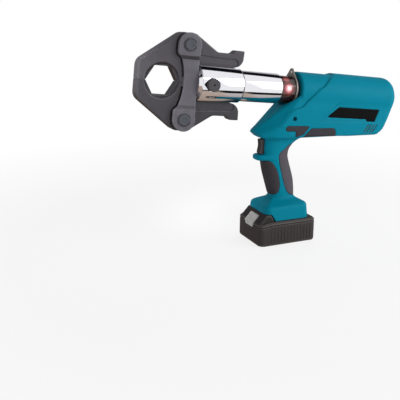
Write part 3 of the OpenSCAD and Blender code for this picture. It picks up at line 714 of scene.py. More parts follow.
JAW = rounded([
    (-262.5, -6, 0), (-262.5, 29, 17), (-196.1, 78.5, 14), (-171.5, 78.5, 22), (-130, 52, 14),
    (-104.5, 52, 8), (-98.5, 58, 4), (-82.3, 58, 1.5), (-83.3, 34, 16), (-100, 28.7, 4), (-114, 20.7, 2),
    (-120, 20.7, 2), (-124, 25.7, 2), (-160, 25.7, 6), (-176, 11.5, 4), (-189, 11.5, 2), (-189, -6, 0),
    (-192.9, -6, 0), (-209.7, 23, 0), (-236.3, 23, 0), (-253.1, -6, 0)])
TAIL_PANEL = rounded([(-163, 45.5, 5), (-131, 43.5, 10), (-92, 43.5, 8), (-92, 29, 7), (-163, 29, 5)])
WAIST = [(-202, 60), *flowing([(-202, 47), (-200.3, 43.5), (-194.8, 38), (-190, 22), (-187.8, 0),
                               (-190, -22), (-194.8, -38), (-200.3, -43.5), (-202, -47)]),
         (-202, -60), (-165, -60), (-165, 60)]
HEX_S = -223.0
JAW_HALF = 12.5
PIN_R, PIN_HOLE_R = 9.0, 9.3
# where the tail begins, and how much thinner each of its sides is
TAIL_S, TAIL_THIN = -172.0, 4.0
# radius of the countersink round the pressing profile, and how deep it and the relief are
SINK_R, SINK_DEEP = 29.3, 2.6
LINK_END_R = 19.0
# how far a link plate's middle and top lie from the middle plane, and the step down to its waist
PLATE_MID, PLATE_TOP = 15.8, 18.8
STEP_V, STEP_DEEP = 43.0, 2.6


def link_outline(s, v):
    """Dog-bone outline of a link plate."""
    ends = np.hypot(s - PIVOT_S, np.abs(v) - PIVOT_V) - LINK_END_R
    return join(ends, outline(s, v, WAIST), 1.0)


def jaw_field(k):
    """One jaw: k is 1 for the upper and -1 for the lower."""
    edge = sizes()["jaw_edge"]

    def field(s, y, v):
        v = k * v
        # the tail is thinner than the jaw
        y = np.abs(y) + TAIL_THIN * np.clip((s - TAIL_S) / 6, 0, 1)
        d = slab(outline(s, v, JAW), y - JAW_HALF, edge)
        # countersink round the pressing profile
        cone = (np.hypot(s - HEX_S, v) - (y - JAW_HALF + SINK_R)) * 0.7
        d = cut(d, np.maximum(cone, JAW_HALF - SINK_DEEP - y), 0.3)
        # panel let into the tail
        d = cut(d, np.maximum(outline(s, v, TAIL_PANEL), JAW_HALF - 1.5 - y), 1.0)
        # relief along the plate's front edge
        lip = np.maximum(np.abs(link_outline(s, v) - 0.6) - 2.3, JAW_HALF - SINK_DEEP - y)
        d = cut(d, np.maximum(lip, s - PIVOT_S - 6), 0.5)
        d = np.maximum(d, 0.2 - v)
        return np.maximum(d, PIN_HOLE_R - np.hypot(s - PIVOT_S, v - PIVOT_V))
    return field


def plate_field(k):
    """One link plate: k is -1 for the near and 1 for the far side."""
    def field(s, y, v):
        y = k * y
        flat = link_outline(s, v)
        # raised ends with a sloped step down to the waist
        top = PLATE_TOP - np.clip((STEP_V - np.abs(v)) * 0.45, 0, STEP_DEEP)
        d = slab(flat, np.abs(y - PLATE_MID) - 3.0, 0.9)
        d = both(d, (y - top) * 0.9, 0.8)
        return np.maximum(d, PIN_R - np.hypot(s - PIVOT_S, np.abs(v) - PIVOT_V))
    return field


def jaw_shade(s, y, v):
    """Painted shade inside the pressing profile, beside the link plates, along the gap between the jaws and
    low on the tails near the fork.
    """
    bore = np.clip(28.5 - np.hypot(s - HEX_S, v), 0, 1) * np.clip(11.2 - np.abs(y), 0, 1)
    # painted shadow of the link plates on the jaws
    plate_shadow = np.clip(1 - (link_outline(s, v) - 1) / 13, 0, 1) * np.clip((PIVOT_S + 6 - s) / 6, 0, 1)
    # painted shade along the gap between the jaws, and low on the tails by the fork
    parting = np.clip(1.7 - np.abs(v), 0, 1) * np.clip(HEX_S - 20 - s, 0.35, 1)
    tail = np.clip((35 - np.abs(v)) / 5, 0, 1) * np.clip((s + 168) / 4, 0, 1)
    # the lower rear facet of the hexagon faces away from the light
    bore *= 0.7 + 0.5 * np.clip(-v / 4, 0, 1) * np.clip((s - HEX_S) / 4, 0, 1)
    return np.maximum(np.maximum(bore, 0.6 * plate_shadow), np.maximum(0.8 * parting, 0.6 * tail))


def step_shade(s, y, v):
    """The dark sloped step of a link plate."""
    return 0.75 * np.clip(3.6 - np.abs(np.abs(v) - 40), 0, 1)


class PRESSTOOL_OT_jaws(bpy.types.Operator):
    """Forged jaws with a hexagonal pressing profile and hooked tails"""

    bl_idname = "presstool.jaws"
    bl_label = "Jaws"

    def execute(self, context):
        step = sizes()["steel_step"]
        # the lower jaw's finish is a darker copy at 0.68: painted shade, as less light falls on it
        for name, k, tone, low, high in (("upper_jaw", 1, 1.0, (-266, -14, -3), (-77, 14, 82)),
                                         ("lower_jaw", -1, 0.68, (-266, -14, -82), (-77, 14, 3))):
            jaw = moulded(name + "_forging", jaw_field(k), low, high, step, True, STEEL_SHARP, jaw_shade)
            dress(jaw, name, "jaw_steel", phosphated_steel("phosphated_" + name, tone), name)
            # the chrome mirrors the studio, not the dark tails
            jaw.visible_glossy = False
        return {"FINISHED"}


class PRESSTOOL_OT_links(bpy.types.Operator):
    """Link plates with the jaw pivot pins and their spring rings"""

    bl_idname = "presstool.links"
    bl_label = "Link plates"

    def execute(self, context):
        steel = ground_steel("ground_link_steel", colours().plate)
        step = sizes()["steel_step"]
        for name, k, low, high in (("link_plate_near", -1, (-206, -21, -82), (-162, -10, 82)),
                                   ("link_plate_far", 1, (-206, 10, -82), (-162, 21, 82))):
            plate = moulded(name + "_forging", plate_field(k), low, high, step, True, STEEL_SHARP,
                            step_shade)
            dress(plate, "head", "plate_steel", steel, name)
        blue = ground_steel("hardened_pin_steel", linear("#4c4e56"), EVEN, 0.5, 0.4)
        places = [(PIVOT_S, k * 12.9, v) for k in (-1, 1) for v in (PIVOT_V, -PIVOT_V)]
        turns = [(k * -math.pi / 2, 0.0, 0.0) for k in (-1, 1) for _ in range(2)]
        pins = repeated("pivot_pin_ends", to_tool(places), turns, pivot_end,
                        {"Pin Radius": PIN_R, "Pin Length": 7.2, "Ring Radius": 9.9, "Ring Width": 1.7,
                         "Ring Thickness": 1.4}, [blue, blackened_steel()])
        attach(pins, "head")
        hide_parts("pivot_pins", "pin_rings")
        return {"FINISHED"}


# Repeats made with geometry nodes

def repeated(name, places, turns, build, values, materials):
    """Copies of one small shape at points in millimetres, turned, as one plain mesh."""
    mesh = bpy.data.meshes.new(name)
    mesh.from_pydata((np.asarray(places) * MM).tolist(), [], [])
    layer = mesh.attributes.new("turn", "FLOAT_VECTOR", "POINT")
    layer.data.foreach_set("vector", np.asarray(turns, np.float32).ravel())
    item = placed(name, mesh)
    tree = bpy.data.node_groups.new(name, "GeometryNodeTree")
    tree.interface.new_socket("Geometry", in_out="INPUT", socket_type="NodeSocketGeometry")
    sockets = {key: tree.interface.new_socket(key, in_out="INPUT", socket_type="NodeSocketFloat")
               for key in values}
    tree.interface.new_socket("Geometry", in_out="OUTPUT", socket_type="NodeSocketGeometry")
    start = add(tree, "NodeGroupInput")
    shape = build(tree, start, materials)
    turn = add(tree, "GeometryNodeInputNamedAttribute", {"Name": "turn"}, data_type="FLOAT_VECTOR")
    spin = add(tree, "FunctionNodeEulerToRotation", {0: turn.outputs["Attribute"]})
    copies = add(tree, "GeometryNodeInstanceOnPoints", {
        "Points": start.outputs["Geometry"], "Instance": shape, "Rotation": spin.outputs[0]})
    real = add(tree, "GeometryNodeRealizeInstances", {"Geometry": copies.outputs[0]})
    add(tree, "NodeGroupOutput", {"Geometry": real.outputs[0]})
    step = item.modifiers.new("repeat", "NODES")
    step.node_group = tree
    for key, value in values.items():
        step[sockets[key].identifier] = value * MM
    plain_mesh(item)
    smoothed(item.data, 35)
    return item


def stepped(tree, mesh, top, rise, shrink):
    """Raises the top faces of a mesh and shrinks them; gives the mesh and its new top."""
    up = add(tree, "GeometryNodeExtrudeMesh", {"Mesh": mesh, "Selection": top, "Offset Scale": rise},
             mode="FACES")
    slim = add(tree, "GeometryNodeScaleElements", {"Geometry": up.outputs["Mesh"],
                                                   "Selection": up.outputs["Top"], "Scale": shrink})
    return slim.outputs[0], up.outputs["Top"]


def moved(tree, mesh, way):
    """A mesh moved."""
    return add(tree, "GeometryNodeTransform", {"Geometry": mesh, "Translation": way}).outputs[0]


def halved(tree, value):
    """Half of a value."""
    return add(tree, "ShaderNodeMath", {0: value, 1: 0.5}, operation="MULTIPLY").outputs[0]


def painted(tree, mesh, material):
    """A mesh with its material."""
    return add(tree, "GeometryNodeSetMaterial", {"Geometry": mesh, "Material": material}).outputs[0]


def pivot_end(tree, start, materials):
    """The end of a pivot pin with its split spring ring."""
    pin = add(tree, "GeometryNodeMeshCylinder", {"Vertices": 48, "Radius": start.outputs["Pin Radius"],
                                                 "Depth": start.outputs["Pin Length"]})
    rise = add(tree, "ShaderNodeCombineXYZ", {"Z": halved(tree, start.outputs["Pin Length"])})
    up = moved(tree, pin.outputs["Mesh"], rise.outputs[0])
    # an eased rim and a shallow dish in the end
    mesh, top = stepped(tree, up, pin.outputs["Top"], 0.0006, 0.92)
    mesh, top = stepped(tree, mesh, top, 0.0, 0.55)
    dish = add(tree, "GeometryNodeExtrudeMesh", {"Mesh": mesh, "Selection": top, "Offset Scale": -0.0005},
               mode="FACES")
    body = painted(tree, dish.outputs["Mesh"], materials[0])
    bend = add(tree, "GeometryNodeCurveArc", {
        "Resolution": 48, "Radius": start.outputs["Ring Radius"], "Start Angle": math.radians(20),
        "Sweep Angle": math.radians(320)})
    wire = add(tree, "GeometryNodeCurvePrimitiveQuadrilateral", {"Width": start.outputs["Ring Thickness"],
                                                                 "Height": start.outputs["Ring Width"]})
    ring = add(tree, "GeometryNodeCurveToMesh", {"Curve": bend.outputs["Curve"],
                                                 "Profile Curve": wire.outputs[0], "Fill Caps": True})
    lift = moved(tree, ring.outputs[0], (0, 0, 0.0066))
    joined = add(tree, "GeometryNodeJoinGeometry")
    for part in (painted(tree, lift, materials[1]), body):
        tree.links.new(part, joined.inputs[0])
    return joined.outputs[0]


def screw_head(tree, start, materials):
    """A round screw head with a cross recess."""
    head = add(tree, "GeometryNodeMeshCylinder", {"Vertices": 32, "Radius": start.outputs["Head Radius"],
                                                  "Depth": start.outputs["Head Height"]})
    slim = stepped(tree, head.outputs["Mesh"], head.outputs["Top"], 0.0005, 0.82)[0]
    bars = add(tree, "GeometryNodeJoinGeometry")
    for size in ((0.0042, 0.001, 0.002), (0.001, 0.0042, 0.002)):
        bar = add(tree, "GeometryNodeMeshCube", {"Size": size})
        tree.links.new(moved(tree, bar.outputs[0], (0, 0, 0.0012)), bars.inputs[0])
    cross = add(tree, "GeometryNodeMeshBoolean", {"Mesh 1": slim, "Mesh 2": bars.outputs[0]},
                operation="DIFFERENCE")
    return painted(tree, cross.outputs[0], materials[0])


def case_rib(tree, start, materials):
    """One upright half-round rib with domed ends."""
    bar = add(tree, "GeometryNodeMeshUVSphere", {"Segments": 12, "Rings": 8, "Radius": 1.0})
    width, tall = (halved(tree, start.outputs[key]) for key in ("Rib Width", "Rib Length"))
    size = add(tree, "ShaderNodeCombineXYZ", {"X": width, "Y": start.outputs["Rib Proud"], "Z": tall})
    grown = add(tree, "GeometryNodeTransform", {"Geometry": bar.outputs[0], "Scale": size.outputs[0]})
    return painted(tree, grown.outputs[0], materials[0])


# Press head

FORK_R, CYL_R = 29.5, 26.0
# half widths of the fork's slot at its rim and inside, and how high the wide part reaches
SLOT_HALF, SLOT_INSIDE, SLOT_HIGH = 9.2, 13.0, 24.2
BORE_R, ROD_BORE_R = 22.3, 15.04
# the retaining pin's seat, and the point of the drop-shaped pocket round it
SEAT_R, SEAT_TIP = 11.5, 15.5


def lock_pocket():
    """Outline of the drop-shaped pocket round the retaining pin."""
    seat = [p for p in round_outline(LOCK_S, 0, SEAT_R) if p[0] > LOCK_S - 8.5]
    upper = sorted([p for p in seat if p[1] >= 0], key=lambda p: p[0])
    lower = sorted([p for p in seat if p[1] < 0], key=lambda p: -p[0])
    return [(LOCK_S - SEAT_TIP, 0.6)] + upper + lower + [(LOCK_S - SEAT_TIP, -0.6)]


class PRESSTOOL_OT_press_head(bpy.types.Operator):
    """Chromed fork and cylinder with the retaining pin"""

    bl_idname = "presstool.press_head"
    bl_label = "Press head"

    def execute(self, context):
        head = turned("press_head_chrome", [
            (FORK_FRONT, 0), (FORK_FRONT, 23.2), (-161.2, 28.6), (-160.7, 28.6), (-160.3, FORK_R),
            (-88.2, FORK_R), (-87.3, 29.2), (FORK_REAR, 28.4), (FORK_REAR, 25.4), (-85.4, 25.4),
            (-85.0, 25.9), (-84.4, CYL_R), (-13.2, CYL_R), (-12.4, 25.8), (-10, 23.6), (CYL_REAR, 22.8),
            (CYL_REAR, 19), (60.5, 19), (60.5, 0)], sides=160)
        fork = [(FORK_FRONT - 2, -40), (FORK_FRONT - 2, 40), (FORK_REAR, 40), (FORK_REAR, -40)]
        inner = [(s, max(-SLOT_HIGH, min(SLOT_HIGH, v))) for s, v in fork]
        bore = turned("bore", [
            (FORK_REAR - 1, 0), (FORK_REAR - 1, BORE_R), (-50, BORE_R), (-50, 13), (-30, 13),
            (-30, ROD_BORE_R), (61, ROD_BORE_R), (61, 0)], sides=96)
        carve(head, [prism("slot", fork, -SLOT_HALF, SLOT_HALF),
                     prism("slot_inside", inner, -SLOT_INSIDE, SLOT_INSIDE), bore,
                     prism("pocket", lock_pocket(), -40, -24.5),
                     prism("pin_hole", round_outline(LOCK_S, 0, 6.1), -30, 40)], 28)
        dress(head, "head", "chrome", hard_chrome(), "press_head")
        pin = moulded("retaining_pin_steel", pin_field, (LOCK_S - 13, -38, -13), (LOCK_S + 13, 29, 13), 0.7,
                      True, STEEL_SHARP)
        dress(pin, "retaining_pin", "dark_steel", pin_steel(), "retaining_pin")
        # painted shade: a black rubber ring set in the step behind the fork, standing in for the shadow in
        # the gap there
        shadow_ring = turned("step_shadow_ring", [
            (FORK_REAR + 0.1, 25.0), (FORK_REAR + 0.1, 27.6), (-85.6, 27.9), (-85.0, 27.2), (-84.8, 26.05),
            (-84.8, 25.0)], ring=True)
        dress(shadow_ring, "head", "inner_black", soft_rubber("nitrile_rubber", linear("#141314")))
        return {"FINISHED"}


# radii of the retaining pin's shank, its head and the pit in the head
SHANK_R, HEAD_R, PIT_R = 6.0, 10.8, 1.7


def pin_field(s, y, v):
    """Retaining pin: a shank, a round head with an eased rim and a pit in its middle."""
    r = np.hypot(s - LOCK_S, v)
    shank = slab(r - SHANK_R, np.abs(y + 0.75) - 28.2, 1.0)
    head = slab(r - HEAD_R, np.abs(y + 31.8) - 3.5, 1.6)
    return cut(join(shank, head, 0.6), np.maximum(r - PIT_R, y + 32.5), 0.5)


def pin_steel():
    """Dull grey phosphated steel of the retaining pin."""
    return ground_steel("phosphated_pin_steel", linear("#454347"), EVEN, 0.3, 0.55)


# Neck

# radius and middle of the hanging plate, its lug and the eye in it
HANG_R, HANG_S = 27, 17
LUG_V, LUG_R = 31, 6.6
EYE_V, EYE_R = 31.5, 2.75
# half length and half height of the lamp's lens, and how far its middle lies from the barrel axis
LENS_LONG, LENS_HIGH, LENS_OUT = 7.4, 9.4, 23.9


def hang_field(s, y, v):
    """Plate behind the collar with a holed lug on top."""
    r = np.hypot(y, v)
    lug = outline(y, v, [(-23, 14), (-6.2, 33.5), (6.2, 33.5), (23, 14)])
    flat = join(r - HANG_R, np.minimum(np.hypot(y, v - LUG_V) - LUG_R, lug), 2.0)
    flat = np.maximum(flat, EYE_R - np.hypot(y, v - EYE_V))
    return np.maximum(slab(flat, np.abs(s - HANG_S) - 1.5, 0.5), 20.9 - r)


class PRESSTOOL_OT_neck(bpy.types.Operator):
    """Neck collar with its lamp, and the plate with the hanging eye"""

    bl_idname = "presstool.neck"
    bl_label = "Neck"

    def execute(self, context):
        collar = turned("neck_collar_ring", [
            (-9, 20.95), (-9, 21.4), (-8.2, 22), (-6, 22.9), (-3, 23.3), (8, 23.3), (11.5, 23.6),
            (14.6, 24.2), (15.4, 24.2), (15.4, 20.95)], ring=True, sharp=RUBBER_SHARP)
        dress(collar, "tool", "collar_red", smoked_collar(), "neck_collar")
        plate = moulded("hang_plate_steel", hang_field, (13, -29, -29), (21, 29, 39), 0.6,
                        True, STEEL_SHARP)
        dress(plate, "tool", "hang_steel",
              ground_steel("rolled_sheet_steel", linear("#77736e"), (1, 0.05, 1), 0.6, 0.45), "hang_plate")

        def lens_field(s, y, v):
            r = np.sqrt(((s - LAMP[0]) / LENS_LONG) ** 2 + ((v - LAMP[2]) / LENS_HIGH) ** 2)
            bulge = np.hypot(y, v) - LENS_OUT + 0.9 * r * r
            return np.maximum(np.maximum((r - 1) * 6, bulge), y + 16)

        lens = moulded("indicator_lens", lens_field, (-8, -26, -9), (11, -15, 15), 0.6, True)
        dress(lens, "tool", "collar_red", indicator_lamp())
        return {"FINISHED"}


# Housing

def mirrored(half):
    """An outline from its far half and the mirror image of that."""
    return rounded(half + [(x, -y, r) for x, y, r in reversed(half)])


# side outlines of the lower body, the joint round the front barrel and what stands proud
BELLY = rounded([
    (-58, AXIS_Z - 71, 5), (-43, BELLY_Z + 2, 4), (47, BELLY_Z + 0.5, 20), (203, BELLY_Z - 2, 26),
    (236.5, AXIS_Z - 20, 8), (226, AXIS_Z - 8, 0), (28, AXIS_Z - 2, 0), (24, AXIS_Z - 8, 2),
    (5, AXIS_Z - 22, 4)])
SEAM = [
    (-120, 60), (99, 60),
    *flowing([(99, 37), (97, 33), (86, 27), (71, 14), (55, 1), (42, -12.5), (33, -22.5), (28, -27),
              (15, -31), (2, -38), (-4, -60)]),
    (-120, -60)]
STRAP = rounded([
    (112, 0, 0), (102, -11.5, 6), (68.5, -51, 6), (54, -60, 0), (-14, -63, 0), (2, -38, 0), (15, -31, 0),
    (28, -27, 0), (60, 8, 0)])
LOWER_BAND = rounded([
    (66, -51, 3), (172, -47, 6), (202, -49, 0), (202, -75, 0), (40, -75, 0), (52, -60, 0)])
LABEL = rounded([(s, v, 1.2) for s, v in (
    (106, -22.6), (197, -23), (189, -46), (171, -46), (168, -42), (82.5, -42))])
FRONT_PAD = raised(BELLY_Z, [
    (-5, 14.5, 4), (-5, 24, 5), (43, 21.5, 2), (31, 8, 4), (22, 4.5, 3), (15, 3, 1), (15, 14, 2)])
REAR_PAD = raised(BELLY_Z, [(31, -5, 1), (31, 3, 1), (46, 17, 4), (98, 15.5, 8), (98, -5, 1)])
# outlines seen from above: the lower body, the trigger guard and the foot
PLAN = mirrored([(-59, 15, 10), (12, 41, 0), (200, 41, 0), (BODY_REAR + 3, 22, 20)])
LEDGE = mirrored([(-49.5, 12, 10), (-30, 16.5, 8), (0, 16.5, 0)])
FOOT = rounded([(-43, -38, 14), (47.5, -38, 14), (47.5, 38, 14), (-43, 38, 14)])
FOOT_Z = (41.9, 66.5)
# height, front and rear of the handle
COLUMN = np.array(flowing([
    (60, -12.5, 31), (70, -14.5, 30), (80, -17.2, 28.8), (95, -22, 28), (110.5, -26.8, 25.7),
    (125.5, -31.2, 21.2), (138.5, -33.9, 17.1), (152, -36.3, 13.7), (163, -36.5, 15.6), (170, -36.5, 20.3),
    (175, -36.5, 26.5), (180, -36.5, 34.8), (184, -36.5, 46), (190, -36.5, 66), (198, -36.5, 70)]))
FRONT_GRIP = [
    (-70, 146),
    *flowing([(-27.8, 146), (-20.5, 140.4), (-15.2, 132.7), (-10.8, 123.3), (-7.9, 112.2), (-6.5, 102.9),
              (-6.6, 93.8), (-8.8, 87.6), (-14.3, 83.5), (-20, 82.5)]),
    (-70, 82.5)]
BACK_GRIP = [
    (80, 173.5),
    *flowing([(14, 173.5), (9.5, 171.2), (1.7, 165.3), (-6.2, 160.3), (-9.4, 155.3), (-9, 146.2),
              (-6.1, 133.4), (-2.5, 120.3), (1.3, 107.2), (5.3, 95.8), (9.2, 88), (14.6, 82.8), (21, 80),
              (30, 79.5)]),
    (80, 79.5)]
BELLY_HALF = 31.0
# the main barrel, where its dome begins, and the front barrel and its rear end
MAIN_R, DOME_S = 35.5, 212.0
FRONT_R, FRONT_END = 32.5, 115.0
# corner of the nose that its sloped facet and rim pass through, and their normals as (x, side, z)
NOSE_X, NOSE_UP = -15.4, 21.0
FACET, RIM = (-0.538, 0.753, 0.378), (-0.436, 0.5, 0.8)
STRAP_PROUD = 2.6
# half width of the handle, and where its column starts and ends
HANDLE_HALF, HANDLE_LOW, HANDLE_HIGH = 17.5, 62, 197
# radii of the room round the collar and of the neck's bore, and half widths of the wells
COLLAR_ROOM_R, NECK_BORE_R = 28, 21
TRIGGER_WELL, RAIL_WELL = 7.4, 22.5
# depth and room of the rubber's seats, and how far from the middle the pads' and labels' floors lie
GRIP_DEEP, SEAT_ROOM = 2.6, 0.35
PAD_FLOOR, LABEL_FLOOR = 28.4, 30.1
# the first air slot, the spacing of the slots and their number
AIR_S, AIR_PITCH, AIR_COUNT = 165, 6.2, 4
# radius of a screw's well and where its floor lies
WELL_R, WELL_FLOOR = 4.1, -28


def column(x, side, z):
    """The handle: an oval column whose front and rear follow the hand."""
    front, rear = np.interp(z, COLUMN[:, 0], COLUMN[:, 1]), np.interp(z, COLUMN[:, 0], COLUMN[:, 2])
    deep = np.abs(x - (front + rear) / 2) / ((rear - front) / 2)
    d = ((deep ** 2.5 + (side / HANDLE_HALF) ** 2.5) ** 0.4 - 1) * 17
    return np.maximum(np.maximum(d, z - HANDLE_HIGH), HANDLE_LOW - z)


def body_form(x, y, z):
    """The housing before anything is let into it."""
    s, v = along(x, z), across(x, z)
    side = np.abs(y)
    rho = np.hypot(y, v)
    # main barrel with its domed rear end
    q = np.maximum(s - DOME_S, 0) / (BODY_REAR - DOME_S)
    main = ((q ** 2.5 + (rho / MAIN_R) ** 2.5) ** 0.4 - 1) * 30
    main = cut(main, outline(s, v, SEAM), 1.0)
    front = slab(rho - FRONT_R, np.maximum(BODY_FRONT - s, s - FRONT_END), 3.0)
    barrel = join(main, front, 0.6)
    # lower body, whose nose has a sloped facet on each side above a rim
    belly = slab(outline(x, z, BELLY), side - BELLY_HALF, 6.0)
    belly = both(belly, outline(x, y, PLAN), 6.0)
    facet, rim = (normal[1] * (side - BELLY_HALF) + normal[0] * (x - NOSE_X)
                  + normal[2] * (z - BELLY_Z - NOSE_UP) for normal in (FACET, RIM))
    belly = cut(belly, both(-facet, -rim, 5.0), 2.5)
    # a raised strap down the side and a band under the label
    rise = STRAP_PROUD * np.clip((v + 60) / 30, 0, 1)
    strap = both(slab(outline(s, v, STRAP), side - BELLY_HALF - rise, 1.2), facet, 1.5)
    band = np.maximum(slab(outline(s, v, LOWER_BAND), side - BELLY_HALF - 0.8, 0.7), belly - 0.9)
    upper = join(barrel, join(join(belly, strap, 1.6), band, 1.2), 2.5)
    # handle, trigger guard and foot
    guard = slab(outline(x, y, LEDGE), np.abs(z - LEDGE_Z - 5) - 5, 4.4)
    handle = join(column(x, side, z), guard, 3.0)
    lean = 3.5 * np.clip((z - FOOT_Z[0]) / 30, 0, 1)
    wall = outline(x, y, FOOT) + lean
    # the foot's top rises towards the handle
    crown = (z - FOOT_Z[1] - 0.03 * x + 0.48 * np.minimum(wall, 0)) * 0.9
    foot = np.maximum(slab(wall, crown, 3.6), FOOT_Z[0] - z)
    return join(upper, join(handle, foot, 6.0), 5.0)


def shell_field(x, y, z):
    """The housing with everything let into it."""
    s, v = along(x, z), across(x, z)
    side = np.abs(y)
    rho = np.hypot(y, v)
    form = body_form(x, y, z)
    d = cut(form, np.maximum(rho - COLLAR_ROOM_R, s - BODY_FRONT), 0.8)
    d = np.maximum(d, -np.maximum(rho - NECK_BORE_R, s - 66))
    # trigger well, room for the battery's hump and the battery rail
    well = box_field(x, y, z, (-64, -TRIGGER_WELL, TRIGGER_Z), (-25, TRIGGER_WELL, TRIGGER_Z + 28.2))
    d = cut(d, well, 0.8)
    wedge = outline(x, z, [(-90, 54.6), (-30.2, 54.6), (-21.3, 40), (-90, 40)])
    d = cut(d, wedge, 0.6)
    d = np.maximum(d, -box_field(x, y, z, (-90, -RAIL_WELL, 30), (41, RAIL_WELL, 54.1)))
    # seats of the rubber and the labels
    for grip in (FRONT_GRIP, BACK_GRIP):
        d = cut(d, np.maximum(outline(x, z, grip) - SEAT_ROOM, -(form + GRIP_DEEP)), 0.5)
    for pad in (FRONT_PAD, REAR_PAD):
        d = cut(d, np.maximum(outline(x, z, pad) - SEAT_ROOM, PAD_FLOOR - side), 0.5)
    d = cut(d, np.maximum(outline(s, v, LABEL) - 0.5, LABEL_FLOOR - side), 0.4)
    d = cut(d, np.maximum(air_slots(s, v), 25.5 - side), 0.5)
    # screw wells on the near side
    for px, pz in SCREWS:
        d = cut(d, np.maximum(np.hypot(x - px, z - pz) - WELL_R, y - WELL_FLOOR), 0.5)
    return d


def air_slots(s, v):
    """Slanted air slots low at the rear."""
    slots = np.inf
    for i in range(AIR_COUNT):
        a = AIR_S + AIR_PITCH * i
        slots = np.minimum(slots, outline(s, v, [(a, -67), (a + 2.1, -67), (a + 12.1, -51), (a + 10, -51)]))
    return slots


def slot_shade_field(s, y, v):
    """Dark fills in the air slots, standing in for the shade inside them: painted shade."""
    return np.maximum(air_slots(s, v) - 0.1, np.abs(np.abs(y) - 28.2) - 2.6)


def rubber_field(points, proud, pad):
    """A rubber piece that fills its seat in the housing and stands a little proud."""
    def field(x, y, z):
        form = body_form(x, y, z)
        flat = outline(x, z, points)
        inner = (PAD_FLOOR + 0.2 - np.abs(y)) if pad else -(form + GRIP_DEEP - 0.2)
        return both(np.maximum(form - proud, inner), flat, 1.6)
    return field


def halves(item):
    """Splits a closed shell at the middle plane into two closed halves."""
    made = []
    for name, keep in (("housing_left_shell", -1), ("housing_right_shell", 1)):
        bm = bmesh.new()
        bm.from_mesh(item.data)
        cutline = bmesh.ops.bisect_plane(bm, geom=bm.verts[:] + bm.edges[:] + bm.faces[:], dist=1e-7,
                                         plane_co=(0, 0, 0), plane_no=(0, keep, 0), clear_inner=True)
        edges = [e for e in cutline["geom_cut"] if isinstance(e, bmesh.types.BMEdge)]
        bmesh.ops.triangle_fill(bm, use_beauty=False, use_dissolve=False, edges=edges, normal=(0, -keep, 0))
        bmesh.ops.recalc_face_normals(bm, faces=bm.faces[:])
        mesh = bpy.data.meshes.new(name)
        bm.to_mesh(mesh)
        bm.free()
        smoothed(mesh, MOULD_SHARP)
        made.append(placed(name, mesh))
    bpy.data.objects.remove(item)
    return made


class PRESSTOOL_OT_housing(bpy.types.Operator):
    """Moulded housing halves with their labels and screws"""

    bl_idname = "presstool.housing"
    bl_label = "Housing"

    def execute(self, context):
        shell = moulded("housing_shell", shell_field, (-62, -40, 39), (242, 40, 308), sizes()["shell_step"])
        teal = shell_abs()
        for half, node in zip(halves(shell), ("housing_left", "housing_right")):
            dress(half, "tool", "shell_teal", teal, node)

        def plate(s, y, v):
            return slab(outline(s, v, LABEL), np.abs(np.abs(y) - 30.4) - 0.4, 0.25)

        label = moulded("label_films", plate, (79, -32, -49), (201, 32, -19), 0.8, True, FILM_SHARP)
        dress(label, "tool", "label_black", label_film(), "label_plates")
        # dark fills in the air slots: painted shade
        slot_shade_fill = moulded("air_slot_shade_fills", slot_shade_field, (160, -32, -70), (202, 32, -48), 0.8,
                         True, FILM_SHARP)
        dress(slot_shade_fill, "tool", "inner_black", filled_nylon("slot_shade_nylon", linear("#101314")))
        screws = repeated("housing_screw_heads", [(px, -29.2, pz) for px, pz in SCREWS],
                          [(math.pi / 2, 0, 0.4)] * len(SCREWS), screw_head,
                          {"Head Radius": sizes()["screw_radius"], "Head Height": 1.6}, [blackened_steel()])
        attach(screws, "tool")
        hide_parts("housing_screws")
        return {"FINISHED"}


class PRESSTOOL_OT_rubber(bpy.types.Operator):
    """Rubber grips on the handle and pads on the lower body"""

    bl_idname = "presstool.rubber"
    bl_label = "Rubber"

    def execute(self, context):
        light = soft_rubber("grey_grip_rubber", colours().rubber)
        dark = soft_rubber("black_grip_rubber", colours().rubber_dark)
        soft = soft_rubber("dark_pad_rubber", colours().pad)
        for name, points, proud, low, high, slot, finish in (
                ("front_grip", FRONT_GRIP, 0.7, (-46, -20, 79), (2, 20, 150), "front_rubber", dark),
                ("back_grip", BACK_GRIP, 0.4, (-13, -20, 76), (66, 20, 178), "back_rubber", light),
                ("front_pads", FRONT_PAD, 0.3, (-8, -36, BELLY_Z - 1), (46, 36, BELLY_Z + 27),
                 "pad_rubber", soft),
                ("rear_pads", REAR_PAD, 0.3, (28, -36, BELLY_Z - 6), (101, 36, BELLY_Z + 20),
                 "pad_rubber", soft)):
            field = rubber_field(points, proud, slot == "pad_rubber")
            item = moulded(name + "_rubber", field, low, high, 1.1, sharp=RUBBER_SHARP)
            dress(item, "tool", slot, finish, name)
        return {"FINISHED"}


# Trigger

# side outline of the trigger, and half its width
TRIGGER = raised(TRIGGER_Z, [(-43, 0.4, 3), (-33, 0.4, 0), (-33, 27, 0), (-41.5, 27, 2), (-40, 16, 24)])
TRIGGER_HALF = 6.9


def trigger_field(x, y, z):
    """Trigger with a hollowed face."""
    side = outline(x, z, TRIGGER)
    return slab(side, np.abs(y) - TRIGGER_HALF, 1.8)


class PRESSTOOL_OT_trigger(bpy.types.Operator):
    """Trigger"""

    bl_idname = "presstool.trigger"
    bl_label = "Trigger"

    def execute(self, context):
        item = moulded("trigger_moulding", trigger_field, (-51, -12, TRIGGER_Z - 1),
                       (-31, 12, TRIGGER_Z + 29), 0.7, sharp=RUBBER_SHARP)
        dress(item, "trigger", "trigger_black", filled_nylon("trigger_nylon", linear("#3a3638")), "trigger")
        return {"FINISHED"}


# Battery

CASE_HALF, CASE_TOP = 43.0, 40.0
# the first rib on each side, and the height of the ribs' middles
RIB_START, RIB_Z = -32, 18
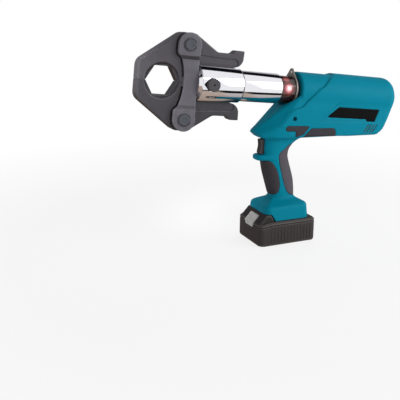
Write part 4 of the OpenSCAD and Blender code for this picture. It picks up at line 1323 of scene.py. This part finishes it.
# half width of the notch under the latch, and of the latch button
NOTCH_HALF, LATCH_HALF = 13.4, 14.8
HUMP_HALF, RAIL_HALF = 37, 22
CASE = rounded([(-56, -CASE_HALF, 11), (57, -CASE_HALF, 9), (57, CASE_HALF, 9), (-56, CASE_HALF, 7)])
# foot of the hump's sloped front, and the angle of the slope
SLOPE_X, SLOPE_Z = -55.0, 37.4
SLOPE = math.atan2(16.4, 15.0)
HUMP = rounded([(SLOPE_X, 33, 0), (SLOPE_X, SLOPE_Z, 0), (-40, 53.8, 3), (-31, 54, 2), (-21.8, 38, 0)])


def slope_place(x, z):
    """Places along and off the hump's sloped front."""
    dx, dz = x - SLOPE_X, z - SLOPE_Z
    return dx * math.cos(SLOPE) + dz * math.sin(SLOPE), dz * math.cos(SLOPE) - dx * math.sin(SLOPE)


def latch_well(x, y, z, room):
    """The space that the latch button moves in."""
    a, b = slope_place(x, z)
    return np.maximum(np.maximum(np.abs(a - 6) - 10 - room, np.abs(y) - 15 - room), -6.3 - b)


def rim_drop(x):
    """How far the battery's rim lies lower towards the front."""
    return 3.2 * np.clip((-32 - x) / 22, 0, 1)


def case_field(x, y, z):
    """Battery case: a deep tray with a stepped foot and a raised rim."""
    flat = outline(x, y, CASE)
    drop = rim_drop(x)
    d = slab(flat, np.maximum(-z, z - CASE_TOP + drop), 1.6)
    d = cut(d, np.maximum(-(flat + 1.0), np.abs(z - 1.0) - 1.2), 0.8)
    # rim line under the top edge
    d = cut(d, np.maximum(-(flat + 1.0), np.abs(z - 36.2 + drop) - 0.8), 0.6)
    # notch that the latch's tab moves in
    d = cut(d, box_field(x, y, z, (-60, -NOTCH_HALF, 26), (-50.5, NOTCH_HALF, 45)), 0.5)
    return cut(d, latch_well(x, y, z, SEAT_ROOM), 0.5)


def hump_field(x, y, z):
    """Upper shell of the battery: a cover plate, the sloped hump and the sliding rail."""
    drop = rim_drop(x)
    cover = slab(outline(x, y, CASE) + 2.2, np.maximum(39.7 - drop - z, z - 41.6 + drop), 0.7)
    hump = slab(outline(x, z, HUMP), np.abs(y) - HUMP_HALF, 3.0)
    rail = box_field(x, y, z, (-31, -RAIL_HALF, CASE_TOP), (22, RAIL_HALF, 53.6))
    d = join(join(cover, hump, 1.2), rail, 0.5)
    d = cut(d, box_field(x, y, z, (-60, -NOTCH_HALF, 26), (-50.5, NOTCH_HALF, CASE_TOP)), 0.5)
    return cut(d, latch_well(x, y, z, SEAT_ROOM), 0.6)


def latch_field(x, y, z):
    """Latch button on the slope, with a finger hollow and a tab over the rim."""
    a, b = slope_place(x, z)
    flat = outline(a, y, rounded([(-3.9, -LATCH_HALF, 2), (15.8, -LATCH_HALF, 2), (15.8, LATCH_HALF, 2),
                                  (-3.9, LATCH_HALF, 2)]))
    d = slab(flat, np.abs(b + 0.9) - 2.1, 0.8)
    tab = slab(outline(y, z, rounded([(-13, 28.8, 2), (13, 28.8, 2), (13, 38.6, 1), (-13, 38.6, 1)])),
               np.abs(x + 55.4) - 1.9, 0.9)
    d = join(d, tab, 1.2)
    hollow = np.sqrt((a - 5) ** 2 + (b - 9.4) ** 2 + (y * 0.45) ** 2) - 9.6
    return cut(d, hollow, 1.0)


class PRESSTOOL_OT_battery(bpy.types.Operator):
    """Slide-on battery with ribbed sides and its latch button"""

    bl_idname = "presstool.battery"
    bl_label = "Battery"

    def execute(self, context):
        nylon = filled_nylon("battery_nylon", colours().battery)
        case = moulded("battery_case_moulding", case_field, (-60, -46, -2), (60, 46, 43), 1.3,
                       sharp=MOULD_SHARP)
        dress(case, "battery", "battery_black", nylon, "battery_case")
        hump = moulded("battery_hump_moulding", hump_field, (-60, -46, 31), (60, 46, 60), 1.1,
                       sharp=MOULD_SHARP)
        dress(hump, "battery", "battery_top", filled_nylon("battery_top_nylon", linear("#2c2829")),
              "battery_hump")
        latch = moulded("latch_button_moulding", latch_field, (-66, -17, 26), (-30, 17, 60), 0.7,
                        sharp=MOULD_SHARP)
        dress(latch, "latch_button", "latch_grey", speckled_latch(), "latch_button")
        use = sizes()
        count = int(use["rib_count"])
        places = [(RIB_START + use["rib_pitch"] * i, k * (CASE_HALF - 0.1), RIB_Z)
                  for k in (-1, 1) for i in range(count)]
        ribs = repeated("battery_side_ribs", places, [(0, 0, 0)] * len(places), case_rib,
                        {"Rib Width": 4.2, "Rib Length": 31.0, "Rib Proud": use["rib_proud"]}, [nylon])
        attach(ribs, "battery")
        return {"FINISHED"}


# Works inside and behind the slots

class PRESSTOOL_OT_works(bpy.types.Operator):
    """Materials of the solids that stay as they are"""

    bl_idname = "presstool.works"
    bl_label = "Works"

    def execute(self, context):
        bright = ground_steel("bright_ground_steel", linear("#c3c5ca"), EVEN, 0.9, 0.3)
        machined = ground_steel("machined_dark_steel", linear("#5a5a61"), EVEN, 0.8, 0.4)
        plate = ground_steel("tongue_steel", colours().plate, EVEN, 0.6, 0.45)
        grey = ground_steel("machined_grey_steel", linear("#8b8e95"), EVEN, 0.8, 0.4)
        black = filled_nylon("inner_black_nylon", linear("#232427"))
        finishes = {
            "link_tongue": plate, "rod_bush": bearing_bronze(), "ram": bright, "roller_carriage": machined,
            "upper_roller": bright, "lower_roller": bright, "roller_pins": machined,
            "return_spring": machined, "cylinder_cap": grey, "switch_block": black, "pump_block": grey,
            "pump_plunger": bright, "eccentric_shaft": machined, "gearbox": grey,
            "motor_can": blackened_steel(), "motor_rotor": machined,
            "oil_bladder": soft_rubber("bladder_rubber", linear("#2a2829")),
            "circuit_board": board_lacquer(), "terminal_block": black, "battery_cells": cell_wrap(),
        }
        finishes["swivel_bush"] = finishes["motor_can"]
        for node, finish in finishes.items():
            item = frame["nodes"][node]
            item.data.materials.clear()
            item.data.materials.append(finish)
        return {"FINISHED"}


# Stage

# painted reflections: colours that only polished metal sees, by place on the floor and by angle in the sky
FLOOR_PAINTED_REFLECTIONS = [(-0.6, "#ffffff"), (-0.39, "#ffffff"), (-0.375, "#0c0b0c"), (-0.22, "#141214"),
               (-0.205, "#cfc8c6"), (-0.06, "#b9b2b0"), (-0.03, "#16343c"), (0.5, "#0c2a32")]
FORK_PAINTED_REFLECTIONS = [(-0.6, "#ffffff"), (-0.36, "#ffffff"), (-0.35, "#1a1614"), (-0.31, "#1a1614"),
              (-0.295, "#a08f82"), (-0.2, "#c0aea0"), (-0.03, "#b5a294"), (0.5, "#8c7c70")]
SKY_PAINTED_REFLECTIONS = [(-90, "#ffffff"), (97, "#ffffff"), (100, "#0a0a0b"), (137, "#101012"), (142, "#b8b7bd"),
             (180, "#c9c8cd")]
WHITE = (1, 1, 1, 1)
FLOOR_HALF, FLOOR_Z = 3000, -0.4
# the camera's place, its three directions, lens and shift
CAMERA_AT = (-0.5472, -0.9552, 0.3854)
CAMERA_RIGHT, CAMERA_UP = (0.8837, -0.467, 0.0306), (0.06, 0.1779, 0.9822)
CAMERA_BACK = (-0.4642, -0.8662, 0.1852)
CAMERA_LENS, CAMERA_SHIFT = 56.7, (-0.155, -0.15)
# name, place, aim, size, power, spread in degrees, and whether mirrors show it
LAMPS = (("key_softbox", (1.2, -1.15, 0.75), (0.0, 0.0, 0.2), 1.2, 18, 180, True),
         ("rear_softbox", (0.7, 1.0, 1.3), (0.0, 0.0, 0.25), 1.2, 5, 180, False),
         ("nose_lamp", (-0.42, -0.12, 0.47), (-0.262, 0.0, 0.285), 0.08, 0.08, 28, False))


class PRESSTOOL_OT_stage(bpy.types.Operator):
    """Pale floor, soft studio light and the camera"""

    bl_idname = "presstool.stage"
    bl_label = "Stage"

    def execute(self, context):
        scene = context.scene
        scene.view_settings.view_transform = "Standard"
        corners = [(-1, -1), (1, -1), (1, 1), (-1, 1)]
        floor = piece("studio_floor", [(FLOOR_HALF * a, FLOOR_HALF * b, FLOOR_Z) for a, b in corners],
                      [(0, 1, 2, 3)])
        floor.data.materials.append(floor_finish())
        sky = bpy.data.worlds.new("studio")
        scene.world = sky
        sky.use_nodes = True
        tree = sky.node_tree
        studio = Nodes(tree)
        background = tree.nodes["Background"].inputs
        path = add(tree, "ShaderNodeLightPath").outputs
        seen = studio.math("MAXIMUM", path["Is Camera Ray"], path["Is Glossy Ray"])
        shown = studio.math("MAXIMUM", seen, path["Is Transmission Ray"])
        way = add(tree, "ShaderNodeTexCoord").outputs["Generated"]
        toward = add(tree, "ShaderNodeSeparateXYZ", {0: way}).outputs
        # the studio's ceiling is dimmer than its walls
        dim = studio.ranged(toward["Z"], start=0.56, end=0.3)
        tree.links.new(studio.ranged(shown, start=dim, end=1.0), background["Strength"])
        # painted reflections: polished metal alone sees a dark flag and a grey card behind the tool, by the
        # angle up from the front
        angle = studio.math("ARCTAN2", toward["Z"], studio.math("MULTIPLY", toward["Y"], -1.0))
        painted_reflections = studio.banded(studio.math("DEGREES", angle), SKY_PAINTED_REFLECTIONS)
        tree.links.new(studio.mix(path["Is Glossy Ray"], WHITE, painted_reflections), background["Color"])
        for name, spot, aim, size, power, spread, glossy in LAMPS:
            data = bpy.data.lights.new(name, "AREA")
            data.size = size
            data.energy = power
            data.spread = math.radians(spread)
            lamp = placed(name, data)
            lamp.visible_camera = False
            lamp.visible_glossy = glossy
            lamp.matrix_world = looking(spot, aim)
        data = bpy.data.cameras.new("camera")
        data.lens = CAMERA_LENS
        data.sensor_width = 36.0
        data.shift_x, data.shift_y = CAMERA_SHIFT
        data.clip_start = 0.05
        camera = placed("camera", data)
        turn = Matrix((CAMERA_RIGHT, CAMERA_UP, CAMERA_BACK)).transposed().to_4x4()
        camera.matrix_world = Matrix.Translation(CAMERA_AT) @ turn
        scene.camera = camera
        return {"FINISHED"}


def looking(spot, aim):
    """Placement of a lamp that faces a point."""
    away = Vector(spot) - Vector(aim)
    return Matrix.Translation(spot) @ away.to_track_quat("Z", "Y").to_matrix().to_4x4()


def floor_finish():
    """Matt white studio paper that the camera sees nearly white, with a soft shadow."""
    made = Finish("white_studio_paper", Roughness=0.9)
    tree = made.tree
    colour = colours().floor
    # cloudy white over about 60 mm
    made.link(made.mix(made.noise(60), rgba(colour, 0.98), rgba(colour)))
    # painted reflections, which only polished metal sees of the floor: a dark flag in front, a warm card
    # beyond it, and under the tool a dark teal that stands for the tool's shade and its teal housing
    # reflected
    body, fork = (made.banded(made.axis("Y"), stops) for stops in (FLOOR_PAINTED_REFLECTIONS, FORK_PAINTED_REFLECTIONS))
    painted_reflection = made.mix(made.ranged(made.axis("X"), 0.02, 0.06), fork, body)
    path = add(tree, "ShaderNodeLightPath").outputs
    shown = made.mix(path["Is Glossy Ray"], WHITE, painted_reflection)
    glow = add(tree, "ShaderNodeEmission", {"Color": shown, "Strength": 1.0})
    # white paper that turns brighter than its shadow from 0.45 m out, so that no horizon shows
    away = add(tree, "ShaderNodeVectorMath", {0: made.place}, operation="LENGTH").outputs["Value"]
    lit = made.math("MULTIPLY", made.ranged(away, 0.45, 1.0, 0.82, 1.0), path["Is Camera Ray"])
    share = made.math("MAXIMUM", lit, path["Is Glossy Ray"])
    blend = add(tree, "ShaderNodeMixShader", {0: share, 1: made.shader.outputs[0], 2: glow.outputs[0]})
    tree.links.new(blend.outputs[0], tree.nodes["Material Output"].inputs["Surface"])
    return made.material


class PRESSTOOL_PT_panel(bpy.types.Panel):
    """Sidebar panel that lists the pieces"""

    bl_idname = "PRESSTOOL_PT_panel"
    bl_label = "Press Tool"
    bl_space_type = "VIEW_3D"
    bl_region_type = "UI"
    bl_category = "Press Tool"

    def draw(self, context):
        for group in (context.scene.press_tool_sizes, context.scene.press_tool_colours):
            for key in group.bl_rna.properties.keys():
                if key not in ("rna_type", "name"):
                    self.layout.prop(group, key)
        for operator in OPERATORS:
            self.layout.operator(operator.bl_idname)


OPERATORS = (PRESSTOOL_OT_jaws, PRESSTOOL_OT_links, PRESSTOOL_OT_press_head, PRESSTOOL_OT_neck,
             PRESSTOOL_OT_housing, PRESSTOOL_OT_rubber, PRESSTOOL_OT_trigger, PRESSTOOL_OT_battery,
             PRESSTOOL_OT_works, PRESSTOOL_OT_stage)
CLASSES = (PressToolSizes, PressToolColours, *OPERATORS, PRESSTOOL_PT_panel)


def register():
    for item in CLASSES:
        bpy.utils.register_class(item)
    bpy.types.Scene.press_tool_sizes = bpy.props.PointerProperty(type=PressToolSizes)
    bpy.types.Scene.press_tool_colours = bpy.props.PointerProperty(type=PressToolColours)


def unregister():
    del bpy.types.Scene.press_tool_colours
    del bpy.types.Scene.press_tool_sizes
    for item in reversed(CLASSES):
        bpy.utils.unregister_class(item)


def main():
    register()
    bpy.ops.presstool.jaws()
    bpy.ops.presstool.links()
    bpy.ops.presstool.press_head()
    bpy.ops.presstool.neck()
    bpy.ops.presstool.housing()
    bpy.ops.presstool.rubber()
    bpy.ops.presstool.trigger()
    bpy.ops.presstool.battery()
    bpy.ops.presstool.works()
    bpy.ops.presstool.stage()
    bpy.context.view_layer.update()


if __name__ == "__main__":
    main()
